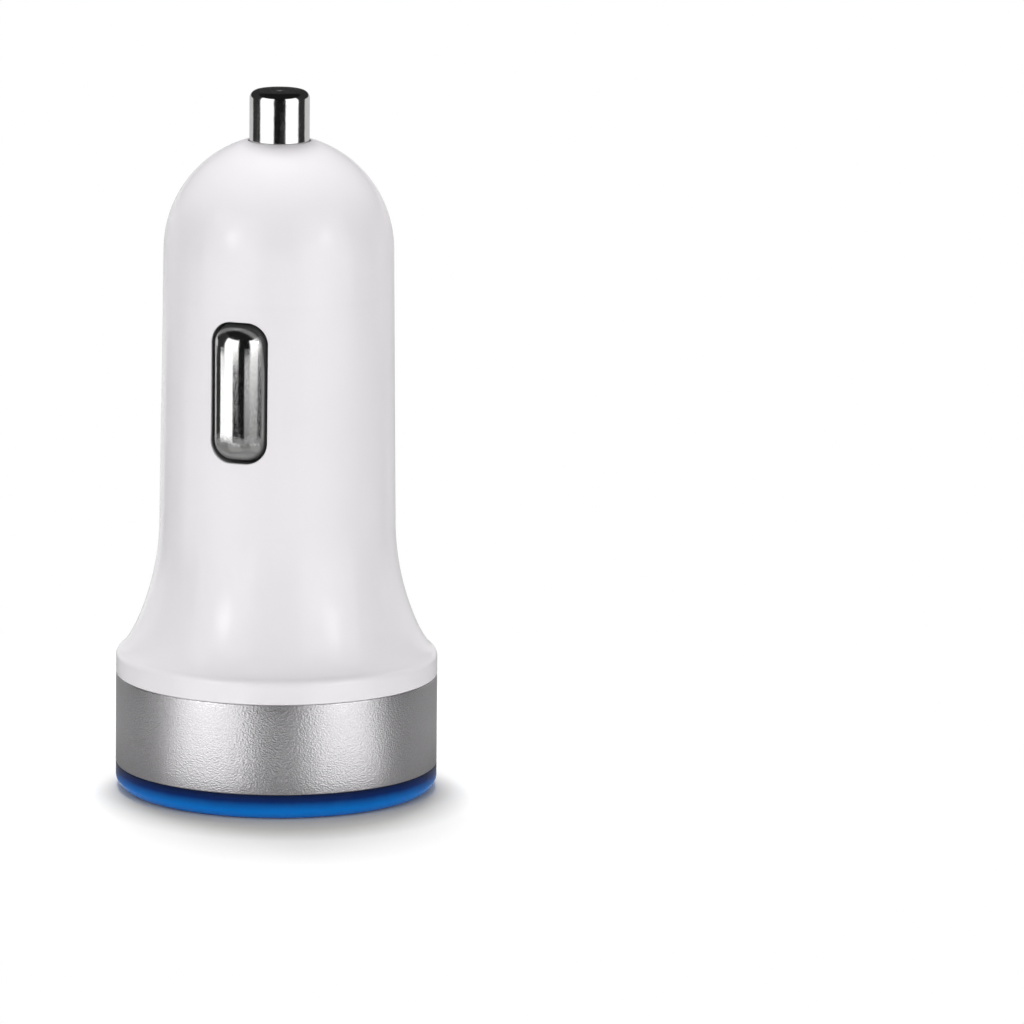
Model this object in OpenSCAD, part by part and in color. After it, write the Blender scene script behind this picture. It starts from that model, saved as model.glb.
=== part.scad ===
// Two-port USB charger for a car's 12 V socket, standing on its face.
// Z runs along the plug: z = 0 is the crest of the light ring round the USB ports,
// and the sprung tip is at the top. The side contacts are at -Y (front) and +Y (back),
// in line with the long sides of the USB ports. The ports are stacked along X.
// The head is as wide as both sockets and the nested walls round them: 28.5 mm.

/* [Head] */
// Room between the sockets' corners and the light ring's skirt
socket_room = 1.22; // [0.9:0.02:1.6]
// Height of the light ring in front of the trim ring
light_h = 2.25; // [1.9:0.05:2.6]
// Rounding of the light ring's outer edge
light_round = 1.2; // [0.8:0.1:1.3]
// Height of the aluminium trim ring
trim_h = 8.1; // [7:0.1:9]
// Wall of the aluminium trim ring
trim_t = 1; // [0.8:0.1:1.2]
// Height of the housing's rim behind the trim ring
rim_h = 2.3; // [1.8:0.1:3]
// Rounding of the rim's corner
rim_round = 0.8; // [0.5:0.1:1]
// Wall of the housing's neck inside the trim ring
neck_t = 1.3; // [1:0.1:1.5]

/* [Face] */
// Width of the light ring round the white face plate
ring_w = 2; // [1.8:0.05:2.4]
// Thickness of the face plate
face_t = 1; // [0.8:0.1:1.2]
// Depth of the face plate behind the light ring's crest
face_recess = 0.3; // [0.2:0.05:0.5]
// Thickness of the light ring's web behind the face plate
web_t = 1.2; // [1:0.1:1.5]
// Wall of the light ring's skirt inside the neck
skirt_t = 1; // [0.8:0.1:1.2]
// Length of that skirt behind the trim ring's front edge
skirt_len = 5; // [4:0.1:6]
// Softened edge round each port window
window_bevel = 0.35; // [0.2:0.05:0.5]
// Diameter of the pegs that hold the face plate
peg_d = 1.6; // [1.2:0.1:2]

/* [Barrel] */
// Length of the flare between the rim and the barrel
flare_len = 11.6; // [10.6:0.1:13]
// Radius lost in the step between the rim and the flare
flare_step = 0.75; // [0.5:0.05:1]
// Barrel diameter where the flare ends
barrel_d = 20.9; // [20.3:0.05:21.2]
// Diameter that the barrel loses up to the dome
barrel_taper = 0.6; // [0.2:0.05:0.8]
// Length of the barrel between the flare and the dome
barrel_len = 24.1; // [22.5:0.1:26]
// Wall of the housing at the nose
wall_t = 1.7; // [1.4:0.1:1.9]

/* [Tip contact] */
// Diameter of the sprung tip
tip_d = 5.3; // [4.8:0.1:5.8]
// Height of the tip above the top of the dome
tip_out = 4; // [3.6:0.1:5]
// Rounding of the tip's end
tip_round = 0.7; // [0.4:0.1:1]
// Travel of the tip into the housing
tip_travel = 3; // [2:0.1:3.2]
// Thickness of the tip's flange inside the housing
tip_flange_t = 1.2; // [0.8:0.1:1.6]
// Width of the tip's flange outside the tip
tip_flange_w = 1.05; // [0.8:0.05:1.2]
// Installed length of the tip's spring
tip_spring_len = 7.6; // [7:0.1:8.2]
// Wire of the tip's spring
tip_wire = 0.5; // [0.4:0.05:0.6]
// Turns of the tip's spring
tip_turns = 6; // [5:1:7]
// Wall of the spring well inside the dome
well_t = 0.9; // [0.7:0.1:1.1]
// Thickness of the positive terminal under the spring
terminal_t = 0.4; // [0.3:0.05:0.6]

/* [Side contacts] */
// Width of the slot round a side contact
slot_w = 5.2; // [4.8:0.1:5.6]
// Height of that slot
slot_h = 12.5; // [11.5:0.1:13]
// Corner radius of that slot
slot_corner = 1.9; // [1.5:0.1:2.2]
// Middle of the slot above the start of the barrel
slot_up = 12.95; // [12.4:0.05:13.6]
// How far a side contact stands proud of the barrel
pad_out = 1.1; // [0.8:0.05:1.3]
// Sheet of the drawn side contact
pad_t = 0.45; // [0.35:0.05:0.5]
// Width of the side contact's flange outside the slot
pad_flange_w = 0.8; // [0.6:0.05:0.95]
// Travel of a side contact into the barrel
pad_travel = 1; // [0.6:0.1:1.1]
// Height of the side contact's arched crown
pad_arch = 2.4; // [2:0.1:2.5]
// Length of the crown's rounded ends
pad_end = 2; // [1.7:0.1:2.3]
// Strip of the leaf spring behind a side contact
leaf_t = 0.25; // [0.2:0.05:0.3]
// Width of that leaf spring
leaf_w = 2.8; // [2:0.1:3.2]

/* [USB sockets] */
// Distance between the two ports' middles
port_pitch = 8.4; // [8:0.1:8.8]
// Width inside a socket's shell
port_w = 12.5; // [12.4:0.05:12.7]
// Height inside a socket's shell
port_h = 5.12; // [5.05:0.01:5.25]
// Sheet of the socket's shell
shell_t = 0.3; // [0.25:0.05:0.35]
// Length of the socket's shell
shell_len = 13; // [12.6:0.1:13.6]
// Gap on each side of the socket's tongue
tongue_side = 0.7; // [0.5:0.05:0.9]
// Thickness of the socket's tongue
tongue_t = 1.84; // [1.7:0.02:1.9]
// Depth of the tongue's front behind the shell's mouth
tongue_in = 0.7; // [0.4:0.1:1.2]
// Length of the plastic block at the back of the socket
block_len = 3; // [2.4:0.1:3.4]
// Width of a contact blade
blade_w = 1; // [0.8:0.05:1.2]
// Thickness of a contact blade
blade_t = 0.2; // [0.15:0.01:0.25]
// Distance between the two inner contact blades
blade_pitch_in = 2; // [1.8:0.1:2.2]
// Distance between an inner and an outer contact blade
blade_pitch_out = 2.5; // [2.3:0.1:2.6]

/* [Circuit boards] */
// Rim of the round port board outside the sockets' corners
port_board_rim = 0.57; // [0.4:0.01:0.8]
// Thickness of both boards
board_t = 1.2; // [1:0.1:1.6]
// Gap between a board's wide edge and the bore
board_edge_gap = 0.45; // [0.3:0.05:0.6]
// Diameter of the inductor's drum
drum_d = 8; // [7:0.1:8.6]
// Room between the inductor's drum and the bore
drum_room = 0.7; // [0.4:0.1:1.2]
// Room between a capacitor can and the bore
can_room = 1.5; // [1:0.1:2]
// Share of the free length of the board that a capacitor can takes
can_share = 0.66; // [0.5:0.01:0.8]
// Length of the converter chip along the board
chip_len = 4.9; // [4:0.1:5.2]
// Length of the rectifier diode's body across the board
diode_len = 4.3; // [3.6:0.1:4.6]

/* [Fits] */
// Radial gap between fixed pieces that seat in each other
fit_gap = 0.05; // [0.03:0.01:0.08]
// Radial gap round a sliding contact
slide_gap = 0.1; // [0.06:0.01:0.15]

/* [Hidden] */
$fn = 96;

// Overrun of a cutting shape past the face that it cuts
cut = 1;
// Thickness of a slice that only guides a hull
thin = 0.01;
// Number of sides of round shapes inside a hull
hull_fn = 32;

// Nested walls of the head, from the sockets outwards
socket_r = norm([port_pitch/2 + port_h/2 + shell_t, port_w/2 + shell_t]);
skirt_ir = socket_r + socket_room;
skirt_or = skirt_ir + skirt_t;
neck_ir = skirt_or + fit_gap;
neck_or = neck_ir + neck_t;
head_r = neck_or + fit_gap + trim_t;
face_r = head_r - ring_w;

// Heights along the axis
trim_z = light_h;
rim_z = trim_z + trim_h;
flare_z = rim_z + rim_h;
barrel_z = flare_z + flare_len;
dome_z = barrel_z + barrel_len;
web_z = face_recess + face_t;
mouth_z = web_z + web_t;
port_board_z = mouth_z + shell_len;
ledge_z = port_board_z + board_t;
slot_z = barrel_z + slot_up;

// Pocket, ledge and key of the round board
port_board_r = socket_r + port_board_rim;
pocket_r = port_board_r + fit_gap;
ledge_w = 0.95;
ledge_h = 1.8;
key_w = 1.2;
key_depth = 0.8;
key_root = 0.3;

// Broken edges along the head's seams, and the lip inside the light ring
seam = 0.12;
face_edge = 0.15;
lip = 0.25;
lip_root = 0.1;

// Snap hooks on the light ring's skirt: their angles, span, heights and reach
hook_angles = [45, 135, 225, 315];
hook_span = 20;
hook_h = 1.6;
hook_end = 0.4;
hook_z = trim_z + skirt_len - hook_h - hook_end;
hook_flat = 0.4;
hook_out = 0.5;
hook_root = 0.3;
hook_play = 0.1;
hook_slack = 2;

// Barrel, flare and bore
barrel_base_r = barrel_d/2;
barrel_nose_r = barrel_base_r - barrel_taper/2;
bore_r = barrel_nose_r - wall_t;
flare_out = head_r - flare_step - barrel_base_r;
flare_arc = (flare_len*flare_len + flare_out*flare_out)/(2*flare_out);
function barrel_r(z) = barrel_base_r + (barrel_nose_r - barrel_base_r)*(z - barrel_z)/barrel_len;

// Tip, its well and its terminal
tip_r = tip_d/2;
tip_bore_r = tip_r + slide_gap;
flange_r = tip_r + tip_flange_w;
well_ir = flange_r + slide_gap;
well_or = well_ir + well_t;
seat_drop = 0.5;
seat_z = dome_z + sqrt(bore_r*bore_r - well_or*well_or) - seat_drop;
tip_top_z = dome_z + barrel_nose_r + tip_out;
spring_top_z = seat_z - tip_flange_t - fit_gap;
well_z = spring_top_z - tip_spring_len;
board_top_z = well_z - terminal_t;
spring_room = 0.45;
spring_r = well_ir - spring_room - tip_wire/2;
spigot_room = 0.3;
spigot_r = spring_r - tip_wire/2 - spigot_room;
spigot_end = 1.6;
spigot_len = tip_spring_len - tip_travel - spigot_end;
terminal_edge = 0.1;
tab_w = 2.4;
tab_len = 1.5;

// Side contact: its crown, its flange and the flat land that stops it
pad_w = slot_w - 2*slide_gap;
pad_h = slot_h - 2*slide_gap;
pad_corner = slot_corner - slide_gap;
pad_top = barrel_r(slot_z) + pad_out;
land_cut = 0.15;
land_y = bore_r - land_cut;
flange_top = land_y - fit_gap;
flange_bottom = flange_top - pad_t;
pad_clear = 0.45;
leaf_seat = flange_bottom - pad_travel - pad_clear;
leaf_foot = 1.5;
leaf_half = pad_h/2 - pad_t - leaf_foot;
crown_reach = min(1, leaf_w/(pad_w - 2*pad_t));
crown_drop = (pad_arch - pad_t)*(1 - sqrt(1 - crown_reach*crown_reach));
leaf_crest = pad_top - pad_t - crown_drop - fit_gap;

// Windows in the face plate and the web, and the pegs between the two
window_gap = 0.05;
window_round = 0.4;
peg_edge = 0.75;
peg_root = 0.2;

// USB sockets: x is across a port, and the tongue fills the +x side of its middle
shell_round = 0.6;
tongue_w = port_w - 2*tongue_side;
tongue_chamfer = 0.42;
inner_blade = blade_pitch_in/2;
outer_blade = inner_blade + blade_pitch_out;
blade_y = [-outer_blade, -inner_blade, inner_blade, outer_blade];
blade_gap = 0.03;
blade_front = 1.2;
blade_crest = 3;
blade_bow = 0.45;
blade_flat = 0.8;
block_z = port_board_z - block_len;
tongue_z = mouth_z + tongue_in;
tail_out = 0.8;
leg_w = 1;
leg_off = 1.3;
leg_root = 0.3;

// Spring fingers of a socket's shell
finger_y = 3;
finger_w = 2.2;
finger_len = 5.5;
finger_slit = 0.3;
finger_in = 0.25;
finger_back = 2.6;
finger_nose = 0.9;
finger_flare = 0.2;
finger_z = mouth_z + finger_back;

// Pins and lamps on the port board
slot_slack = 0.1;
pin_t = 0.5;
pin_pitch = 2.54;
pin_y = [-1.5*pin_pitch, -0.5*pin_pitch, 0.5*pin_pitch, 1.5*pin_pitch];
pin_front = 0.3;
pin_back = 3.3;
lamp_gap = 1.05;
lamp_len = 3.2;
lamp_w = 1.6;
lamp_h = 0.5;
lens_r = 0.75;
lens_h = 0.1;

// Power board: wide between the rails, narrow between the side contacts
power_z = ledge_z;
board_half = bore_r - board_edge_gap;
shoulder_gap = 0.7;
shoulder_cut = 0.6;
shoulder_z = slot_z - pad_h/2 - pad_flange_w - shoulder_gap;
face_x = board_t/2;
rail_t = 1;
rail_reach = 0.85;
rail_root = 0.15;

// Parts on the power board, spread evenly along each side of it: the free length is
// shared by the can and the gaps between the parts
drum_flange = 0.9;
drum_waist = 2.2;
drum_h = sqrt(pow(bore_r - drum_room, 2) - pow(drum_d/2, 2)) - face_x;
winding_in = 0.5;
winding_turns = 7;
turn_share = 0.96;
can_r = (bore_r - face_x - fit_gap - can_room)/2;
can_groove = 1.5;
groove_in = 0.35;
can_edge = 0.4;
score_share = 0.7;
lead_share = 0.4;
lead_r = 0.25;
lead_out = 0.6;
lead_len = lead_out + lead_r;
chip_w = 3.9;
chip_h = 1.3;
chip_lift = 0.15;
chip_draft = 0.15;
leg_pitch = 1.27;
leg_wide = 0.4;
leg_reach = 1.15;
diode_w = 2.5;
diode_h = 2;
diode_lift = 0.1;
cap_w = 1.5;
cap_len = 0.8;
cap_h = 1.2;
cap_out = 0.45;
tile_len = 2;
tile_w = 1.25;
tile_h = 0.6;
fuse_len = 1.6;
fuse_w = 3.2;
fuse_h = 0.7;
part_room = board_top_z - tab_len - power_z;
output_can_len = can_share*(part_room - pin_back - drum_d - tile_len - lead_len);
input_can_len = can_share*(part_room - tail_out - lead_len - chip_len - diode_w - fuse_len);
front_parts = [pin_back, drum_d, tile_len, lead_len + output_can_len];
back_parts = [tail_out, lead_len + input_can_len, chip_len, diode_w, fuse_len];
function total(lengths, n) = n == 0 ? 0 : lengths[n - 1] + total(lengths, n - 1);
function part_z(lengths, i) =
    power_z + total(lengths, i) + i*(part_room - total(lengths, len(lengths)))/len(lengths);

// A flat rounded rectangle with true arcs at its corners
module rounded_rect(w, h, r) {
    square([w - 2*r, h], center = true);
    square([w, h - 2*r], center = true);
    for (sx = [-1, 1], sy = [-1, 1])
        translate([sx*(w/2 - r), sy*(h/2 - r)]) circle(r);
}

// A part of a turned section: r from r0 to r1 and z from z0 to z1
module band(r0, r1, z0, z1) {
    translate([r0, z0]) square([r1 - r0, z1 - z0]);
}

// Places a shape on the front side and its mirror image on the back
module front_and_back() {
    children();
    mirror([0, 1, 0]) children();
}

// Stands a flat shape in the plane of a side contact: its x stays x and its y runs up
module face_on(y0, depth) {
    translate([0, -y0, slot_z]) rotate([90, 0, 0]) linear_extrude(depth) children();
}

// Outer section of the housing: neck, rim, concave flare, tapered barrel and dome
module housing_outside() {
    band(0, neck_or, trim_z, rim_z + cut);
    band(0, head_r, rim_z, flare_z - rim_round);
    band(0, head_r - rim_round, rim_z, flare_z);
    translate([head_r - rim_round, flare_z - rim_round]) circle(rim_round);
    difference() {
        band(0, head_r, flare_z, barrel_z);
        translate([barrel_base_r + flare_arc, barrel_z]) circle(flare_arc);
    }
    polygon([[0, barrel_z], [barrel_base_r, barrel_z], [barrel_nose_r, dome_z], [0, dome_z]]);
    intersection() {
        translate([0, dome_z]) circle(barrel_nose_r);
        band(0, head_r, dome_z, dome_z + head_r);
    }
}

// Inner section of the housing: neck, board pocket, ledge, bore, spring well and tip bore
module housing_inside() {
    cone_low = rim_z + rim_h/2;
    cone_high = port_board_z - board_t;
    band(0, neck_ir, trim_z - cut, cone_low);
    polygon([[0, cone_low], [neck_ir, cone_low], [pocket_r, cone_high], [0, cone_high]]);
    band(0, pocket_r, cone_high, ledge_z);
    band(0, pocket_r - ledge_w, ledge_z, ledge_z + ledge_h);
    difference() {
        union() {
            band(0, bore_r, ledge_z + ledge_h, dome_z);
            intersection() {
                translate([0, dome_z]) circle(bore_r);
                band(0, bore_r, dome_z, dome_z + bore_r);
            }
        }
        band(0, well_or, well_z, dome_z + head_r);
    }
    band(0, well_ir, well_z, seat_z);
    band(0, tip_bore_r, seat_z, dome_z + head_r);
}

// Slot for a side contact, with the flat land inside the wall that its flange stops on
module contact_slot() {
    face_on(0, head_r) rounded_rect(slot_w, slot_h, slot_corner);
    land_w = pad_w + 2*pad_flange_w + 2*slide_gap;
    land_h = pad_h + 2*pad_flange_w + 2*slide_gap;
    face_on(0, land_y) square([land_w, land_h], center = true);
}

// Two ribs that guide one edge of the power board
module board_rail() {
    rail_z = ledge_z + ledge_h;
    for (s = [-1, 1])
        translate([s*(face_x + fit_gap + rail_t/2) - rail_t/2, -bore_r - rail_root, rail_z])
            cube([rail_t, rail_reach + 2*rail_root, shoulder_z - rail_z]);
}

// Window in the neck for one snap hook
module hook_window(angle) {
    rotate([0, 0, angle - hook_span/2 - hook_slack/2])
        rotate_extrude(angle = hook_span + hook_slack)
            band(neck_ir - cut, neck_or + cut, hook_z - hook_play, hook_z + hook_h + hook_play);
}

// White shell in one moulding, from the neck inside the trim ring to the dome
module housing() {
    color("whitesmoke") {
        difference() {
            rotate_extrude() difference() {
                housing_outside();
                housing_inside();
            }
            front_and_back() contact_slot();
            for (a = hook_angles) hook_window(a);
        }
        front_and_back() board_rail();
        key_rib();
    }
}

// Rib in the pocket that keys the port board
module key_rib() {
    translate([pocket_r - key_depth, -key_w/2, port_board_z - key_root])
        cube([key_depth + key_root, key_w, board_t + key_root]);
}

// Sandblasted aluminium sleeve over the housing's neck
module trim_ring() {
    bore = neck_or + fit_gap;
    color("silver") rotate_extrude() polygon([
        [bore, trim_z], [head_r - seam, trim_z], [head_r, trim_z + seam],
        [head_r, rim_z - seam], [head_r - seam, rim_z], [bore, rim_z]
    ]);
}

// Flat outline of one port, at its place: x across the pair, y along the port
module port_outline(side, grow, r) {
    translate([side*port_pitch/2, 0]) rounded_rect(port_h + 2*grow, port_w + 2*grow, r);
}

// Places of the four pegs between the face plate and the web
module peg_places() {
    peg_r = skirt_ir - peg_d/2 - peg_edge;
    for (a = [0, 90, 180, 270]) rotate([0, 0, a]) translate([peg_r, 0]) children();
}

// Blue moulding: crest ring, web behind the face plate, skirt and snap hooks
module light_ring() {
    color("royalblue") {
        difference() {
            rotate_extrude() {
                difference() {
                    union() {
                        band(face_r, head_r, light_round, light_h);
                        band(face_r, head_r - light_round, 0, light_h);
                        intersection() {
                            translate([head_r - light_round, light_round]) circle(light_round);
                            band(head_r - light_round, head_r, 0, light_round);
                        }
                    }
                    polygon([
                        [face_r - cut, -cut], [face_r + lip + cut, -cut], [face_r + lip, 0],
                        [face_r, lip], [face_r - cut, lip]
                    ]);
                }
                band(0, face_r + lip_root, web_z, light_h);
                band(0, skirt_or, web_z, mouth_z);
                band(skirt_ir, skirt_or, web_z, trim_z + skirt_len);
            }
            for (side = [-1, 1])
                translate([0, 0, -cut]) linear_extrude(mouth_z + 2*cut)
                    port_outline(side, window_gap, window_round);
            translate([0, 0, -cut]) linear_extrude(mouth_z + 2*cut)
                peg_places() circle(d = peg_d + 2*fit_gap);
        }
        for (a = hook_angles)
            rotate([0, 0, a - hook_span/2]) rotate_extrude(angle = hook_span) polygon([
                [skirt_or - hook_root, hook_z], [skirt_or + hook_out, hook_z],
                [skirt_or + hook_out, hook_z + hook_flat], [skirt_or, hook_z + hook_h],
                [skirt_or - hook_root, hook_z + hook_h]
            ]);
    }
}

// Cutter that softens the outer edge of one port window
module window_softener(side) {
    soft = window_gap + window_bevel;
    hull() {
        translate([0, 0, face_recess - thin]) linear_extrude(thin)
            port_outline(side, soft, window_round + window_bevel, $fn = hull_fn);
        translate([0, 0, face_recess + window_bevel]) linear_extrude(thin)
            port_outline(side, window_gap, window_round, $fn = hull_fn);
    }
}

// White disc with the two port windows, and pegs on its back
module face_plate() {
    plate_r = face_r - fit_gap;
    color("white") {
        difference() {
            rotate_extrude() polygon([
                [0, face_recess], [plate_r - face_edge, face_recess],
                [plate_r, face_recess + face_edge], [plate_r, web_z], [0, web_z]
            ]);
            for (side = [-1, 1]) {
                translate([0, 0, -cut]) linear_extrude(web_z + 2*cut)
                    port_outline(side, window_gap, window_round);
                window_softener(side);
            }
        }
        translate([0, 0, web_z - peg_root]) linear_extrude(web_t)
            peg_places() circle(d = peg_d);
    }
}

// Moves a socket's piece from the middle to its port
module at_port(side) {
    translate([side*port_pitch/2, 0, 0]) children();
}

// Opening round one spring finger in a wide wall of the shell
module finger_opening(wall, y) {
    translate([wall*(port_h/2 + shell_t/2), y, finger_z + finger_len/2])
        cube([3*shell_t, finger_w + 2*finger_slit, finger_len], center = true);
}

// Spring finger bent in from a wide wall, fixed at its back end
module finger(wall, y) {
    root = finger_z + finger_len;
    tip = finger_z + finger_slit;
    nose = tip + finger_nose;
    in = port_h/2;
    out = port_h/2 + shell_t;
    mirror([wall < 0 ? 1 : 0, 0, 0]) translate([0, y + finger_w/2, 0])
        rotate([90, 0, 0]) linear_extrude(finger_w) polygon([
            [in, root + shell_t], [out, root + shell_t], [out, root], [out - finger_in, nose],
            [out - finger_in + finger_flare, tip], [in - finger_in + finger_flare, tip],
            [in - finger_in, nose], [in, root]
        ]);
}

// Folded steel shell of one USB socket, with spring fingers and board legs
module socket_shell(side) {
    color("lightgray") at_port(side) {
        difference() {
            translate([0, 0, mouth_z]) linear_extrude(shell_len) difference() {
                rounded_rect(port_h + 2*shell_t, port_w + 2*shell_t, shell_round);
                rounded_rect(port_h, port_w, shell_round - shell_t);
            }
            for (wall = [-1, 1], y = [-finger_y, finger_y]) finger_opening(wall, y);
        }
        for (wall = [-1, 1], y = [-finger_y, finger_y]) finger(wall, y);
        for (sx = [-1, 1], sy = [-1, 1])
            translate([sx*leg_off, sy*(port_w + shell_t)/2, port_board_z - leg_root])
                linear_extrude(leg_root + board_t + tail_out)
                    square([leg_w, shell_t], center = true);
    }
}

// Plastic block and tongue of one USB socket, grooved for its contacts
module socket_tongue(side) {
    c = tongue_chamfer;
    t = tongue_t;
    groove_t = blade_t + 2*blade_gap;
    groove_w = blade_w + 2*blade_gap;
    color("dimgray") at_port(side) difference() {
        union() {
            translate([0, 0, block_z]) linear_extrude(block_len)
                rounded_rect(port_h - 2*fit_gap, port_w - 2*fit_gap, shell_round - shell_t);
            translate([0, tongue_w/2, 0]) rotate([90, 0, 0]) linear_extrude(tongue_w) polygon([
                [c, tongue_z], [t - c, tongue_z], [t, tongue_z + 2*c],
                [t, block_z + cut], [0, block_z + cut], [0, tongue_z + 2*c]
            ]);
        }
        for (y = blade_y)
            translate([-blade_t - blade_gap, y - groove_w/2, block_z - cut])
                cube([groove_t, groove_w, block_len + 2*cut]);
    }
}

// Four gold-plated blades of one USB socket, bowed along the tongue
module socket_contacts(side) {
    front = tongue_z + blade_front;
    crest = tongue_z + blade_crest;
    back = block_z - blade_flat;
    tail = ledge_z + tail_out;
    color("goldenrod") at_port(side) for (y = blade_y)
        translate([0, y + blade_w/2, 0]) rotate([90, 0, 0]) linear_extrude(blade_w) polygon([
            [0, front], [-blade_t, front], [-blade_t - blade_bow, crest], [-blade_t, back],
            [-blade_t, tail], [0, tail], [0, back], [-blade_bow, crest]
        ]);
}

// Round board behind the sockets, slotted for their legs and drilled for their tails
module port_board() {
    hole_z = port_board_z - cut;
    hole_h = board_t + 2*cut;
    color("darkgreen") difference() {
        translate([0, 0, port_board_z]) cylinder(h = board_t, r = port_board_r);
        for (side = [-1, 1]) at_port(side) {
            for (sx = [-1, 1], sy = [-1, 1])
                translate([sx*leg_off, sy*(port_w + shell_t)/2, hole_z]) linear_extrude(hole_h)
                    square([leg_w + 2*slot_slack, shell_t + 2*slot_slack], center = true);
            for (y = blade_y)
                translate([-blade_t/2, y, hole_z]) cylinder(h = hole_h, r = blade_w/2 + slot_slack);
        }
        for (y = pin_y)
            translate([face_x + pin_t/2, y, hole_z])
                cylinder(h = hole_h, r = norm([pin_t, pin_t])/2 + slot_slack/2);
        translate([pocket_r, 0, hole_z]) linear_extrude(hole_h)
            square([2*(key_depth + slot_slack), key_w + 2*slot_slack], center = true);
    }
}

// Board along the axis: wide between the rails, narrow between the side contacts
module power_board() {
    color("darkgreen") rotate([90, 0, 90]) translate([0, 0, -face_x]) linear_extrude(board_t)
        polygon([
            [-board_half, power_z], [board_half, power_z], [board_half, shoulder_z - shoulder_cut],
            [board_half - shoulder_cut, shoulder_z], [leaf_seat, shoulder_z],
            [leaf_seat, board_top_z], [-leaf_seat, board_top_z], [-leaf_seat, shoulder_z],
            [shoulder_cut - board_half, shoulder_z], [-board_half, shoulder_z - shoulder_cut]
        ]);
}

// Square pins soldered to the power board's face and through the port board
module board_pins() {
    color("gold") for (y = pin_y)
        translate([face_x, y - pin_t/2, port_board_z - pin_front])
            cube([pin_t, pin_t, pin_front + board_t + pin_back]);
}

// Two surface lamps on the port board that light the blue ring
module ring_lamps() {
    lamp_y = port_w/2 + shell_t + lamp_gap + lamp_w/2;
    color("aliceblue") for (s = [-1, 1]) translate([0, s*lamp_y, port_board_z - lamp_h]) {
        translate([-lamp_len/2, -lamp_w/2, 0]) cube([lamp_len, lamp_w, lamp_h]);
        translate([0, 0, -lens_h]) cylinder(h = lens_h + lamp_h, r = lens_r);
    }
}

// Puts a piece on the power board: side 1 is its +X face. The piece's own x then runs
// down the board, its y across it and its z away from it.
module on_board(side, y, z) {
    mirror([side < 0 ? 1 : 0, 0, 0]) translate([face_x, y, z]) rotate([0, 90, 0]) children();
}

// Middle height of the inductor
drum_z = part_z(front_parts, 1) + drum_d/2;

// Ferrite drum of the inductor
module inductor_core() {
    color("dimgray") on_board(1, 0, drum_z) rotate_extrude() {
        band(0, drum_d/2, 0, drum_flange);
        band(0, drum_waist, 0, drum_h);
        band(0, drum_d/2, drum_h - drum_flange, drum_h);
    }
}

// Copper winding on the drum, with its turns showing
module inductor_winding() {
    room = drum_h - 2*drum_flange - 2*fit_gap;
    wire = room/winding_turns;
    outer = drum_d/2 - winding_in - wire/2;
    color("peru") on_board(1, 0, drum_z) translate([0, 0, drum_flange + fit_gap])
        rotate_extrude() {
            band(drum_waist + fit_gap, outer, 0, room);
            for (i = [0 : winding_turns - 1])
                translate([outer, wire*(i + 0.5)]) circle(d = turn_share*wire);
        }
}

// Electrolytic can lying on the board, with its crimp groove and two bent leads.
// z0 is the height of the leads' bend.
module capacitor(side, z0, len) {
    r = can_r;
    lift = face_x + fit_gap + r;
    mirror([side < 0 ? 1 : 0, 0, 0]) translate([lift, 0, z0 + lead_len]) {
        difference() {
            rotate_extrude() polygon([
                [0, 0], [r - can_edge, 0], [r, can_edge], [r, can_groove - groove_in],
                [r - groove_in, can_groove], [r, can_groove + groove_in], [r, len - can_edge],
                [r - can_edge, len], [0, len]
            ]);
            for (a = [0, 90]) translate([0, 0, len]) rotate([0, 0, a])
                cube([2*score_share*r, can_edge/2, can_edge], center = true);
        }
        for (s = [-1, 1]) translate([0, lead_share*s*r, -lead_out]) {
            cylinder(h = lead_out + groove_in, r = lead_r);
            sphere(lead_r);
            rotate([0, -90, 0]) cylinder(h = r + fit_gap, r = lead_r);
        }
    }
}

module input_capacitor() {
    color("midnightblue") capacitor(-1, part_z(back_parts, 1), input_can_len);
}

module output_capacitor() {
    color("midnightblue") capacitor(1, part_z(front_parts, 3), output_can_len);
}

// Middle height of the converter chip
chip_z = part_z(back_parts, 2) + chip_len/2;

// Body of the converter chip on the board's -X face, drafted above and below its leads
module converter_chip() {
    waist = chip_h/3;
    color("black") on_board(-1, 0, chip_z) translate([0, 0, chip_lift]) hull() {
        translate([0, 0, chip_h/2])
            cube([chip_len, chip_w, waist], center = true);
        translate([0, 0, chip_h/2])
            cube([chip_len - 2*chip_draft, chip_w - 2*chip_draft, chip_h], center = true);
    }
}

// Eight gull-wing leads of the converter chip
module chip_leads() {
    t = blade_t;
    foot = chip_w/2 + leg_reach;
    bend = foot - 3*t;
    top = chip_lift + chip_h/2 + t/2;
    color("silver") on_board(-1, 0, chip_z) for (m = [0, 1], i = [-1.5 : 1 : 1.5])
        mirror([0, m, 0]) translate([i*leg_pitch + leg_wide/2, 0, 0]) rotate([90, 0, -90])
            linear_extrude(leg_wide) polygon([
                [-foot, 0], [t - bend, 0], [2*t - bend, top - t], [-chip_w/2, top - t],
                [-chip_w/2, top], [t - bend, top], [-bend, t], [-foot, t]
            ]);
}

// Diode with two end caps on the board's -X face
module rectifier_diode() {
    color("black") on_board(-1, 0, part_z(back_parts, 3) + diode_w/2) {
        translate([0, 0, diode_lift + diode_h/2]) cube([diode_w, diode_len, diode_h], center = true);
        for (s = [-1, 1]) translate([0, s*(diode_len + cap_out - cap_len/2)/2, cap_h/2])
            cube([cap_w, cap_len, cap_h], center = true);
    }
}

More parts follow.
